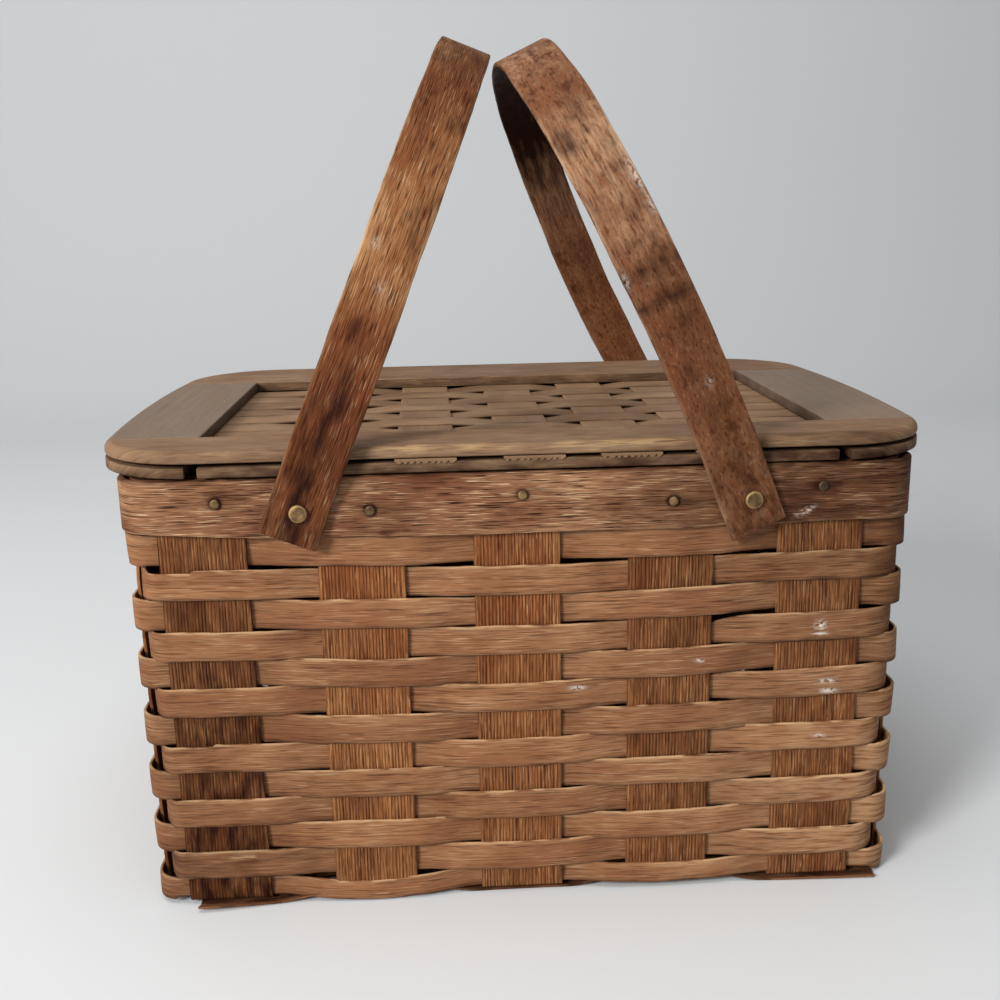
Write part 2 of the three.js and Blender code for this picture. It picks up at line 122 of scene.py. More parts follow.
# An uneven edge: a slow drift and a fine one
def ragged(seed, along, slow, fine):
    return wander(seed, along, *slow) + wander(seed + 1, along, *fine)


# A rounded bump of height 1 about a place
def bump(at, place, reach):
    return np.exp(-(((at - place) / reach) ** 2))


# Which side of each other two splints pass, by their numbers: -1 is inside or below
def passing(one, two):
    return np.where((np.asarray(one) + two) % 2 == 0, -1, 1)


# Places and levels of a splint that lies flat across each of the others, between its two ends
def crossing_steps(first, middles, half, levels, last):
    places = np.stack([middles - half, middles + half], 1).ravel()
    return [first[0], *places, last[0]], [first[1], *np.repeat(levels, 2), last[1]]


# How far along a path each of its points is, and which way it runs there
def follow(path):
    along = np.append(0, np.cumsum(np.linalg.norm(np.diff(path, axis=0), axis=1)))
    ahead = np.gradient(path, axis=0)
    return along, ahead / np.linalg.norm(ahead, axis=1)[:, None]


# How much an eased edge takes off, by the distance from it
def eased(away, edge):
    return edge * (1 - np.sqrt(1 - (1 - unit(away / edge)) ** 2))


# The section of a flat strip with eased edges: across, out, and how near each point is to an edge
def strip_section(width, thickness, edge, outer_points, inner_points):
    half = width / 2 - edge
    deep = thickness / 2 - edge
    inset = min(0.7 * MM, width / 8)
    across = [-half, *np.linspace(-half + inset, half - inset, outer_points - 2), half]
    out = [thickness / 2] * outer_points

    def round_off(side, turns):
        for centre, degrees in turns:
            for angle in np.radians(degrees):
                across.append(side * half + edge * np.cos(angle))
                out.append(centre + edge * np.sin(angle))

    round_off(1, ((deep, (45, 0)), (-deep, (0, -45))))
    across.extend(np.linspace(half, -half, inner_points))
    out.extend([-thickness / 2] * inner_points)
    round_off(-1, ((-deep, (-135, -180)), (deep, (180, 135))))
    near = np.exp(-(width / 2 - np.abs(across)) / (0.8 * MM))
    return np.array(across), np.array(out), near


# A section along a strip's length with its two edges moved, and how far up and down each of its points is
def edged(across, width, top_edge, bottom_edge):
    upper = unit(across / (width / 2))
    lower = unit(-across / (width / 2))
    grown = across + top_edge[:, None] * upper + bottom_edge[:, None] * lower
    return grown, upper, lower


# Materials' coordinates and marks are kept on the mesh: grain runs along, across and by piece
def new_piece(name, corners, faces, grain, marks, material, body, slot, nodes=(), crease=38):
    mesh = bpy.data.meshes.new(name)
    mesh.from_pydata(np.asarray(corners).reshape(-1, 3).tolist(), [], faces)
    stored = mesh.attributes.new("grain", "FLOAT_VECTOR", "POINT")
    stored.data.foreach_set("vector", np.asarray(grain, np.float32).ravel())
    for mark in ("wear_and_highlight", "dirt_and_shade", "paint", "warm"):
        values = np.asarray(marks.get(mark, 0.0), np.float32).ravel()
        values = np.broadcast_to(values, (len(mesh.vertices),))
        stored = mesh.attributes.new(mark, "FLOAT", "POINT")
        stored.data.foreach_set("value", np.ascontiguousarray(values))
    mesh.validate()
    mesh.shade_smooth()
    mesh.set_sharp_from_angle(angle=math.radians(crease))
    mesh.materials.append(material)
    piece = bpy.data.objects.new(name, mesh)
    bpy.context.collection.objects.link(piece)
    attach(piece, body)
    if nodes:
        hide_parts(*nodes)


# The faces of rings of points, open along their length, with both ends closed
def ring_faces(count, around, corners):
    first = np.arange(count - 1)[:, None] * around + np.arange(around)
    after = np.arange(count - 1)[:, None] * around + (np.arange(around) + 1) % around
    quads = np.stack([first, after, after + around, first + around], axis=-1).reshape(-1, 4)
    start = np.arange(around)[::-1]
    end = np.arange(around) + (count - 1) * around
    points = np.asarray(corners).reshape(-1, 3)
    points = points - points.mean(axis=0)
    one, two, three = points[quads[:, 0]], points[quads[:, 1]], points[quads[:, 2]]
    inward = np.einsum("ij,ij->i", one, np.cross(two - one, three - one)).sum() < 0
    faces = quads.tolist() + [start.tolist(), end.tolist()]
    return [face[::-1] for face in faces] if inward else faces


# A strip: its section carried along a line. Ways and sections are one for all its points, or one for each
def strip(name, line, across_way, out_way, along, across, out, seed, marks, *rest):
    shape = (len(line), np.shape(across)[-1])
    across = np.broadcast_to(across, shape)
    out = np.broadcast_to(out, shape)
    across_way = np.broadcast_to(across_way, line.shape)[:, None]
    out_way = np.broadcast_to(out_way, line.shape)[:, None]
    corners = line[:, None] + across[..., None] * across_way + out[..., None] * out_way
    grain = np.stack([np.broadcast_to(along[:, None], shape), across, np.full(shape, seed)], -1)
    marks = {mark: np.broadcast_to(values, shape) for mark, values in marks.items()}
    new_piece(name, corners, ring_faces(*shape, corners), grain, marks, *rest)


# Shader nodes
def srgb(red, green, blue):
    values = np.array([red, green, blue]) / 255
    linear = np.where(values <= 0.04045, values / 12.92, ((values + 0.055) / 1.055) ** 2.4)
    return (*linear.tolist(), 1.0)


def add(tree, kind, inputs, output=0, **fields):
    made = tree.nodes.new(kind)
    for key, value in fields.items():
        setattr(made, key, value)
    for key, value in inputs.items():
        if isinstance(value, bpy.types.NodeSocket):
            tree.links.new(value, made.inputs[key])
        else:
            made.inputs[key].default_value = value
    return made.outputs[output] if made.outputs else None


def attribute(tree, name, output="Fac"):
    return add(tree, "ShaderNodeAttribute", {}, output, attribute_name=name)


def scaled(tree, vector, by):
    return add(tree, "ShaderNodeVectorMath", {0: vector, 1: by}, operation="MULTIPLY")


def noise(tree, vector, by, detail=2.0, rough=0.5):
    return add(tree, "ShaderNodeTexNoise", {
        "Vector": scaled(tree, vector, by), "Scale": 1.0, "Detail": detail, "Roughness": rough})


def between(tree, value, start, end, bottom=0.0, top=1.0):
    return add(tree, "ShaderNodeMapRange", {
        "Value": value, "From Min": start, "From Max": end, "To Min": bottom, "To Max": top},
        interpolation_type="SMOOTHSTEP")


def sums(tree, operation, one, two):
    return add(tree, "ShaderNodeMath", {0: one, 1: two}, operation=operation)


def times(tree, one, two):
    return sums(tree, "MULTIPLY", one, two)


# Two values added, with a share for the second
def blended(tree, one, two, share):
    return sums(tree, "ADD", times(tree, one, 1 - share), times(tree, two, share))


def mixed(tree, share, one, two):
    return add(tree, "ShaderNodeMix", {0: share, 6: one, 7: two}, 2, data_type="RGBA")


def bumpy(tree, height, strength, distance):
    return add(tree, "ShaderNodeBump", {"Strength": strength, "Distance": distance, "Height": height})


def new_material(name):
    material = bpy.data.materials.new(name)
    material.use_nodes = True
    tree = material.node_tree
    tree.nodes.clear()
    return material, tree


def finish_material(tree, **inputs):
    shader = add(tree, "ShaderNodeBsdfPrincipled", inputs)
    add(tree, "ShaderNodeOutputMaterial", {"Surface": shader})


# How fine patterns are along and across the grain, and how they differ by piece
WARM_PATCHES = (9.0, 16.0, 6.1)
EDGE_CHIPS = (70.0, 600.0, 2.9)
DARKENING_PATCHES = (50.0, 160.0, 4.3)
PAINT_SPECKS = (420.0, 700.0, 1.9)
BRASS_PATCHES = (260.0, 260.0, 3.1)
BRASS_SCRATCHES = (300.0, 1800.0, 2.3)
PAINT = srgb(214, 204, 194)
WOOD_ROUGHNESS = (0.55, 0.75)
WOOD_SPECULAR = 0.07


# Aged wood: warm and dull patches, streaks, fine fibres, short dark lines, pale splinters, worn edges and
# painted highlights, dirt and painted shade
def wood(name, dark, mid, light, fleck, worn_and_highlight, stain_and_shade, warm, streak, dash, contrast, pores, flecks, blotch,
         relief=0.15, mottle=(24.0, 52.0), fibre=(90.0, 1500.0)):
    streak_length, streak_width = streak[0] * MM, streak[1] * MM
    dash_length, dash_width = dash[0] * MM, dash[1] * MM
    material, tree = new_material(name)
    grain = attribute(tree, "grain", "Vector")
    streaks = noise(tree, grain, (1 / streak_length, 1 / streak_width, 3.7), 3.0, 0.6)
    fibres = noise(tree, grain, (*fibre, 5.3), 2.0, 0.6)
    blotches = noise(tree, grain, (*mottle, 7.1), 3.0, 0.55)
    dashes = noise(tree, grain, (1 / dash_length, 1 / dash_width, 9.7), 1.0)
    splinters = noise(tree, grain, (1.2 / dash_length, 1.3 / dash_width, 12.9), 1.0)
    tone = blended(tree, blended(tree, streaks, fibres, 0.5), blotches, blotch)
    colour = mixed(tree, between(tree, tone, 0.5 - contrast, 0.5), srgb(*dark), srgb(*mid))
    colour = mixed(tree, between(tree, tone, 0.5, 0.5 + contrast), colour, srgb(*light))
    patches = between(tree, noise(tree, grain, WARM_PATCHES), 0.42, 0.66, 0.0, 0.6)
    colour = mixed(tree, patches, colour, srgb(*warm))
    stained = times(tree, attribute(tree, "warm"), between(tree, blotches, 0.3, 0.55, 0.4, 1.0))
    colour = mixed(tree, stained, colour, srgb(*warm))
    by_piece = add(tree, "ShaderNodeTexWhiteNoise", {"Vector": scaled(tree, grain, (0.0, 0.0, 1.0))}, "Value",
                   noise_dimensions="3D")
    value = between(tree, by_piece, 0.0, 1.0, 0.93, 1.07)
    colour = add(tree, "ShaderNodeHueSaturation", {"Color": colour, "Value": value})
    colour = mixed(tree, between(tree, dashes, 0.42, 0.34, 0.0, pores), colour, srgb(*stain_and_shade))
    pale = between(tree, splinters, 0.6, 0.67, 0.0, flecks)
    colour = mixed(tree, times(tree, pale, between(tree, blotches, 0.36, 0.54)), colour, srgb(*fleck))
    # Worn edges and painted highlights pale towards the worn colour
    chips = between(tree, noise(tree, grain, EDGE_CHIPS), 0.36, 0.58)
    colour = mixed(tree, times(tree, attribute(tree, "wear_and_highlight"), chips), colour, srgb(*worn_and_highlight))
    # Dirt and painted shade darken towards the stain colour, in patches
    patchiness = between(tree, noise(tree, grain, DARKENING_PATCHES, 3.0), 0.3, 0.7, 0.5, 1.0)
    colour = mixed(tree, times(tree, attribute(tree, "dirt_and_shade"), patchiness), colour, srgb(*stain_and_shade))
    specks = between(tree, noise(tree, grain, PAINT_SPECKS, 3.0), 0.42, 0.5)
    colour = mixed(tree, times(tree, attribute(tree, "paint"), specks), colour, PAINT)
    height = sums(tree, "ADD", fibres, times(tree, dashes, 0.9))
    finish_material(tree, **{
        "Base Color": colour, "Roughness": between(tree, streaks, 0.3, 0.7, *WOOD_ROUGHNESS),
        "Normal": bumpy(tree, height, 0.9, relief * MM), "Specular IOR Level": WOOD_SPECULAR})
    return material


# The woods' colours, the length and width of their streaks and dashes in mm, and the strength of each mark
WEAVER_WOOD = wood(
    "weaver_wood", dark=(98, 58, 36), mid=(143, 99, 68), light=(169, 127, 93), fleck=(204, 168, 130),
    worn_and_highlight=(204, 166, 126), stain_and_shade=(46, 23, 14), warm=(130, 84, 57), streak=(80, 1.3), dash=(22, 0.65),
    contrast=0.15, pores=0.54, flecks=0.42, blotch=0.35)
STAKE_WOOD = wood(
    "stake_wood", dark=(80, 42, 21), mid=(135, 85, 51), light=(175, 122, 77), fleck=(204, 158, 110),
    worn_and_highlight=(190, 138, 90), stain_and_shade=(38, 14, 7), warm=(116, 61, 31), streak=(50, 0.9), dash=(14, 0.75),
    contrast=0.14, pores=0.5, flecks=0.55, blotch=0.2)
RIM_WOOD = wood(
    "rim_wood", dark=(78, 44, 28), mid=(139, 97, 69), light=(172, 131, 98), fleck=(216, 180, 142),
    worn_and_highlight=(196, 152, 114), stain_and_shade=(38, 17, 9), warm=(110, 65, 43), streak=(40, 1.9), dash=(20, 0.68),
    contrast=0.12, pores=0.92, flecks=0.8, blotch=0.4, relief=0.6)
LEFT_HANDLE_WOOD = wood(
    "left_handle_wood", dark=(66, 31, 14), mid=(138, 89, 53), light=(178, 133, 91), fleck=(210, 174, 132),
    worn_and_highlight=(208, 172, 128), stain_and_shade=(34, 12, 7), warm=(112, 58, 30), streak=(24, 1.6), dash=(14, 0.8),
    contrast=0.11, pores=0.8, flecks=0.42, blotch=0.5, relief=0.5)
RIGHT_HANDLE_WOOD = wood(
    "right_handle_wood", dark=(74, 42, 24), mid=(136, 94, 66), light=(168, 130, 98), fleck=(196, 160, 124),
    worn_and_highlight=(196, 164, 132), stain_and_shade=(38, 18, 11), warm=(110, 63, 37), streak=(11, 4.0), dash=(4, 1.7),
    contrast=0.1, pores=0.45, flecks=0.16, blotch=0.55, relief=0.4, mottle=(95.0, 140.0),
    fibre=(240.0, 800.0))
LID_WOOD = wood(
    "lid_wood", dark=(112, 96, 82), mid=(125, 108, 94), light=(133, 116, 101), fleck=(146, 129, 111),
    worn_and_highlight=(150, 112, 84), stain_and_shade=(62, 40, 28), warm=(128, 107, 90), streak=(160, 4), dash=(24, 1.1),
    contrast=0.2, pores=0.12, flecks=0.15, blotch=0.4, relief=0.08)
RAIL_WOOD = wood(
    "rail_wood", dark=(112, 85, 64), mid=(139, 110, 86), light=(155, 127, 102), fleck=(188, 160, 120),
    worn_and_highlight=(184, 152, 110), stain_and_shade=(52, 31, 21), warm=(122, 90, 66), streak=(70, 2.2), dash=(18, 1.0),
    contrast=0.14, pores=0.4, flecks=0.45, blotch=0.4)
PANEL_WOOD = wood(
    "panel_wood", dark=(114, 87, 64), mid=(146, 116, 89), light=(166, 137, 108), fleck=(178, 150, 118),
    worn_and_highlight=(172, 138, 102), stain_and_shade=(46, 28, 20), warm=(118, 88, 66), streak=(90, 2.0), dash=(20, 1.0),
    contrast=0.14, pores=0.35, flecks=0.4, blotch=0.35)
SMOOTH_WOOD = wood(
    "smooth_wood", dark=(128, 100, 76), mid=(142, 113, 87), light=(152, 123, 96), fleck=(150, 124, 98),
    worn_and_highlight=(160, 128, 94), stain_and_shade=(40, 24, 17), warm=(118, 90, 68), streak=(120, 7), dash=(20, 1.0),
    contrast=0.2, pores=0.1, flecks=0.1, blotch=0.5)


# Old brass: dull brown-yellow metal, darker towards its edges
def old_brass():
    material, tree = new_material("old_brass")
    grain = attribute(tree, "grain", "Vector")
    patches = noise(tree, grain, BRASS_PATCHES, 3.0, 0.55)
    colour = mixed(tree, between(tree, patches, 0.36, 0.64), srgb(98, 75, 46), srgb(150, 119, 74))
    colour = mixed(tree, attribute(tree, "dirt_and_shade"), colour, srgb(40, 27, 18))
    colour = mixed(tree, attribute(tree, "wear_and_highlight"), colour, srgb(176, 146, 94))
    surface = bumpy(tree, noise(tree, grain, BRASS_SCRATCHES), 0.4, 0.04 * MM)
    roughness = between(tree, patches, 0.3, 0.7, 0.42, 0.6)
    finish_material(tree, **{
        "Base Color": colour, "Roughness": roughness, "Normal": surface, "Metallic": 0.55})
    return material


BRASS = old_brass()
FRONT_WALL, RIGHT_WALL, BACK_WALL, LEFT_WALL = range(4)


# Points round a rectangle with round corners, from the front's left end, with their ways out
class Loop:
    def __init__(self, half_x, half_y, radius):
        self.flats = [2 * (half_x - radius), 2 * (half_y - radius)] * 2
        self.half = (half_x, half_y)
        self.radius = radius
        self.quarter = math.pi / 2 * radius
        self.length = sum(self.flats) + 2 * math.pi * radius

    # How far round the loop a place on a wall is
    def reach(self, wall, place):
        before = sum(self.flats[:wall]) + wall * self.quarter
        return before + self.flats[wall] / 2 + place

    def at(self, along):
        along = np.mod(np.asarray(along, float), self.length)
        points = np.zeros((len(along), 2))
        ways = np.zeros((len(along), 2))
        start = 0.0
        for wall, flat in enumerate(self.flats):
            turn = wall * math.pi / 2
            run = np.array([math.cos(turn), math.sin(turn)])
            out = np.array([math.sin(turn), -math.cos(turn)])
            reach = self.half[1] if wall % 2 == 0 else self.half[0]
            on_flat = (along >= start) & (along < start + flat)
            part = along[on_flat] - start - flat / 2
            points[on_flat] = out * reach + part[:, None] * run
            ways[on_flat] = out
            in_turn = (along >= start + flat) & (along < start + flat + self.quarter)
            angle = (along[in_turn] - start - flat) / self.radius
            way = np.cos(angle)[:, None] * out + np.sin(angle)[:, None] * run
            centre = out * (reach - self.radius) + run * flat / 2
            points[in_turn] = centre + way * self.radius
            ways[in_turn] = way
            start += flat + self.quarter
        return points, ways


# Ridges along a splint's outer face: where their points lie, and how unlike each other they are
RIDGE_POINTS = np.array([0.0, 0.2, 0.5, 0.8])
RIDGE_EDGE = 0.35 * MM
RIDGE_DRIFT = 0.18
RIDGE_DEPTHS = (0.55, 1.15)
RIDGE_SHADES = (0.0, 0.3)
LINE_SHADES = (0.35, 1.0)
RIDGE_WEAR = (0.1, 0.9)


# A strip's section with rounded ridges along its outer face, a tone for each ridge, and painted shade in the
# grooves between them
def ridged_section(seed, width, thickness, ridges, depth):
    chance = np.random.default_rng(seed)
    step = len(RIDGE_POINTS)
    count = ridges * step + 1
    across, out, near = strip_section(width, thickness, RIDGE_EDGE, count, 14)
    starts = np.arange(ridges + 1.0)
    starts[1:-1] += chance.uniform(-RIDGE_DRIFT, RIDGE_DRIFT, ridges - 1)
    places = starts[:-1, None] + np.diff(starts)[:, None] * RIDGE_POINTS
    across[:count] = (np.append(places.ravel(), ridges) / ridges - 0.5) * (width - 2 * RIDGE_EDGE)
    depths = chance.uniform(*RIDGE_DEPTHS, ridges) * depth
    shape = (1 - np.sin(np.pi * RIDGE_POINTS)) ** 1.5
    out[:count] -= np.append((depths[:, None] * shape).ravel(), 0)
    lines = np.zeros(len(across))
    lines[:count - 1] = np.repeat(chance.uniform(*RIDGE_SHADES, ridges), step)
    # Painted shade in the groove at the start of each ridge
    lines[:count - 1:step] = chance.uniform(*LINE_SHADES, ridges)
    near[2:count - 1:step] = chance.uniform(*RIDGE_WEAR, ridges)
    return across, out, near, lines


# Stakes are counted round the wall from the front's left end
FIRST_RIGHT, LAST_RIGHT, LAST_BACK, FIRST_LEFT, LAST_LEFT = 5, 8, 13, 14, 17
STAKE_BEND = 1.5 * MM
STAKE_STEP = 4 * MM
STAKE_WAVE = 0.4 * MM
STAKE_RIDGES = 25
STAKE_RIDGE_DEPTH = 0.42 * MM
STAKE_DRIFT = (45 * MM, 0.25 * MM)
STAKE_HALF = STAKE_WIDTH / 2 + 1.2 * MM
WEAVE_STEP = STAKE_THICKNESS + 0.3 * MM
# How far the top of a front stake leans, and from which height
STAKE_TOP_SHIFT = {"cross_stake_5": -2.2 * MM}
SHIFT_START, SHIFT_RISE = 70 * MM, 140 * MM
# Darkening at the top and bottom of each stake: the top sets the stake's darkness, and the rise towards the
# bottom is painted shade
STAKE_DARKENING = {
    "cross_stake_1": (0.4, 1.24), "cross_stake_2": (0.0, 0.26), "cross_stake_3": (0.0, 0.24),
    "cross_stake_4": (0.5, 0.32), "cross_stake_5": (0.5, 0.32),
}
LENGTH_STAKE_DARKENING = (0.35, 0.5)


# One stake: down one wall, along the bottom, up the other wall
def stake(node, seed, wall, place, runs_along_y, loop_spots, steps, dirt_and_shade):
    bend_level = MAT_LEVEL + STAKE_BEND
    heights = np.append(np.arange(STAKE_TOP, bend_level + STAKE_STEP / 2, -STAKE_STEP), bend_level)
    knots = [bend_level, *ROW_MIDDLES[::-1], RIM_BOTTOM, STAKE_TOP]
    waves = []
    for spot in loop_spots:
        pushes = -passing(np.arange(len(WEAVERS)), spot) * STAKE_WAVE
        waves.append(ease(heights, knots, [0, *pushes[::-1], 0, 0]))
    turn = np.radians(np.linspace(0, 90, 5))[1:-1]
    first = np.stack([-wall - waves[0], heights], 1)
    bend = np.stack([-wall + STAKE_BEND * (1 - np.cos(turn)), bend_level - STAKE_BEND * np.sin(turn)], 1)
    runs = np.linspace(-wall + STAKE_BEND, wall - STAKE_BEND, 60)
    floor = np.stack([runs, ease(runs, *steps)], 1)
    last = np.stack([wall + waves[1], heights], 1)
    flat = np.vstack([first, bend, floor, (bend * (-1, 1))[::-1], last[::-1]])
    side, height = flat.T
    along, ahead = follow(flat)

    def laid(by, run, rise):
        return np.stack([by, run, rise] if runs_along_y else [run, by, rise], 1)

    up = unit((height - SHIFT_START) / SHIFT_RISE) * (side < 0)
    line = laid(place + STAKE_TOP_SHIFT.get(node, 0.0) * up, side, height)
    out_way = laid(0 * side, ahead[:, 1], -ahead[:, 0])
    across_way = X_WAY if runs_along_y else Y_WAY
    across, out, near, lines = ridged_section(
        seed, STAKE_WIDTH, STAKE_THICKNESS, STAKE_RIDGES, STAKE_RIDGE_DEPTH)
    # Painted shade along each stake's right edge
    right_edge_shade = 0.8 * np.exp(-(STAKE_WIDTH / 2 - across) / (0.6 * MM))
    inner = unit(1 - np.abs(across) / (STAKE_WIDTH / 2))
    across = across + wander(seed + 1, along, *STAKE_DRIFT)[:, None] * np.minimum(1, 4 * inner)
    # Darker towards the bottom: painted shade over the stake's darkness at the top
    darkened = dirt_and_shade[0] + (dirt_and_shade[1] - dirt_and_shade[0]) * unit(1 - height / RIM_BOTTOM)
    marks = {"wear_and_highlight": near * 0.7 * unit(1 - 0.9 * darkened)[:, None],
             "dirt_and_shade": unit(darkened[:, None] + 0.46 * lines + right_edge_shade)}
    strip(f"{node}_splint", line, across_way, out_way, along, across, out, seed, marks,
          STAKE_WOOD, "basket", "stake_splint", [node])


for index, node in enumerate(CROSS_STAKES):
    steps = ((-WALL_Y, WALL_Y), (MAT_LEVEL, MAT_LEVEL))
    stake(node, 20 + index, WALL_Y, CROSS_PLACES[index], True, (index, LAST_BACK - index), steps,
          STAKE_DARKENING[node])
for index, node in enumerate(LENGTH_STAKES):
    levels = MAT_LEVEL + passing(np.arange(len(CROSS_STAKES)), index) * WEAVE_STEP
    steps = crossing_steps((-WALL_X + STAKE_BEND, MAT_LEVEL), CROSS_PLACES, STAKE_HALF, levels,
                           (WALL_X - STAKE_BEND, MAT_LEVEL))
    stake(node, 40 + index, WALL_X, LENGTH_PLACES[index], False, (LAST_LEFT - index, FIRST_RIGHT + index),
          steps, LENGTH_STAKE_DARKENING)

# Weavers: long splints that wind in and out of the stakes, each a little uneven
WEAVER_THICKNESS = 1.4 * MM
WEAVER_REACH = 1.65 * MM
WEAVER_BULGE = 0.45 * MM
WEAVER_CORNER = 12 * MM
WEAVER_SPREAD = 0.5 * MM
WEAVER_SEAM = 0.3 * MM
WEAVER_EDGE = np.array([(16, 0.16), (4, 0.06)]) * MM
WEAVER_LIFT = (75 * MM, 0.4 * MM)
WEAVER_TILT = (90 * MM, 0.035)
SEAM_STAKES = (11, 12)
LAST_ROW = len(WEAVERS) - 1
# How far the rows' left and right ends are lifted, in mm from the top row down
LEFT_LIFT = [2.4, 1.6, 1.0, 0.9, 0.9, 0.9, 0.5, 0.3, 0.2, 0.2, 0.2, 0.2]
RIGHT_LIFT = [1.0, 2.4, 2.0, 1.0, 0.8, 1.1, 0.6, 0.4, 0.2, 0.2, 0.2, 0.2]
# How far inside the corners the rows turn, by stake, and by row at the right front corner
CORNER_MIDDLE = 12 * MM
CORNER_CUTS = {FIRST_RIGHT: 1.6 * MM, LAST_RIGHT: 2.5 * MM, FIRST_LEFT: 2.5 * MM, LAST_LEFT: 7.2 * MM}
RIGHT_FRONT_CUTS = {3: 3.4 * MM, 5: 2.8 * MM, 7: 6.2 * MM, 9: 5.4 * MM, 11: 7.4 * MM}
# Split or tapered edges on the front wall, between two places, in mm
Split = namedtuple("Split", "row start end top_start top_end bottom_start bottom_end")
SPLITS = [
    Split(1, -200, -169.8, -1.5, -1.5, 0, 0), Split(7, -200, -165.5, -1.2, -1.2, 0, 0),
    Split(3, 96, 117, -4.2, 0, 0.9, 0), Split(5, 96, 112, -2.4, 0, 0.8, 0),
    Split(12, -104, -66, -1.4, -0.6, 0, 0)]
# Where the lowest row has slipped down and leans
Slip = namedtuple("Slip", "stake drop lean")
SLIPS = [Slip(1, 4.2 * MM, 0.3), Slip(3, 1.6 * MM, 0.14)]
SLIP_REACH = 42 * MM
# Dabs of pale paint on the front wall, in mm
Dab = namedtuple("Dab", "x z wide tall")
PAINT_DABS = [
    Dab(157, 150.7, 2.4, 2.6), Dab(157, 146.2, 3.4, 0.7), Dab(161.7, 119.2, 4.2, 1.1),
    Dab(163, 113.4, 4.0, 1.2), Dab(158.9, 87.3, 2.6, 1.0), Dab(93.2, 133.4, 2.2, 0.9),
    Dab(28.2, 120.1, 4.0, 0.9)]
# A pale sliver that has come away on one row
SLIVER_NODE = "weaver_12"
SLIVER_X, SLIVER_REACH, SLIVER_LEVEL, SLIVER_HEIGHT = -156 * MM, 7.5 * MM, 4.4 * MM, 0.9 * MM

wall_loop = Loop(WALL_X, WALL_Y, WEAVER_CORNER)
stake_reaches = np.concatenate([
    wall_loop.reach(FRONT_WALL, CROSS_PLACES), wall_loop.reach(RIGHT_WALL, LENGTH_PLACES),
    wall_loop.reach(BACK_WALL, -CROSS_PLACES[::-1]), wall_loop.reach(LEFT_WALL, -LENGTH_PLACES[::-1])])


# How far rows sit from their even places: they sag in the middle of a wall and lie lower half-way down
def row_drift(row, x, y):
    depth = math.sin(math.pi * row / (LAST_ROW - 1))
    share = np.maximum(np.abs(x) / WALL_X * (np.abs(y) > WALL_Y - WEAVER_CORNER),
                       np.abs(y) / WALL_Y * (np.abs(x) > WALL_X - WEAVER_CORNER))
    sag = 0.8 - 2.6 * np.cos(np.pi / 2 * unit(share)) ** 2
    settle = 0.9 - 2.0 * depth
    leftward = unit((-x / WALL_X - 0.35) / 0.65)
    rightward = unit((x / WALL_X - 0.35) / 0.65)
    lift = LEFT_LIFT[row] * leftward + RIGHT_LIFT[row] * rightward
    if row == 0:
        lift = lift + 1.4 + 1.8 * unit(y / WALL_Y)
    return (sag * (0.4 + 0.6 * depth) + settle * 0.6 + lift) * MM


# How far in or out of the wall's middle a row lies, all the way round
def weaver_offset(row, reach):
    places, levels = [], []
    for turn in (-1, 0, 1):
        for number, at in enumerate(stake_reaches):
            side = passing(row, number) * WEAVER_REACH
            spot = at + turn * wall_loop.length
            cut = CORNER_CUTS.get(number, 0.0)
            cut = cut * min(1.0, 0.62 + 0.06 * row) if side < 0 else -min(cut, 1 * MM)
            if number == FIRST_RIGHT:
                cut = RIGHT_FRONT_CUTS.get(row, cut)
            after_corner = number in (FIRST_RIGHT, FIRST_LEFT)
            if cut > 0 and after_corner:
                places.append(spot - STAKE_HALF - CORNER_MIDDLE)
                levels.append(-0.6 * cut)
            places += [spot - STAKE_HALF, spot + STAKE_HALF]
            levels += [side - cut * after_corner, side - cut * (not after_corner)]
            if cut > 0 and not after_corner:
                places.append(spot + STAKE_HALF + CORNER_MIDDLE)
                levels.append(-0.6 * cut)
    half_way = wall_loop.length / 2
    away = np.abs((reach[:, None] - stake_reaches + half_way) % wall_loop.length - half_way)
    hump = unit(1 - away.min(axis=1) / STAKE_HALF)
    bulge = passing(row, away.argmin(axis=1)) * WEAVER_BULGE * np.sin(np.pi / 2 * hump) ** 2
    return ease(reach, places, levels) + bulge


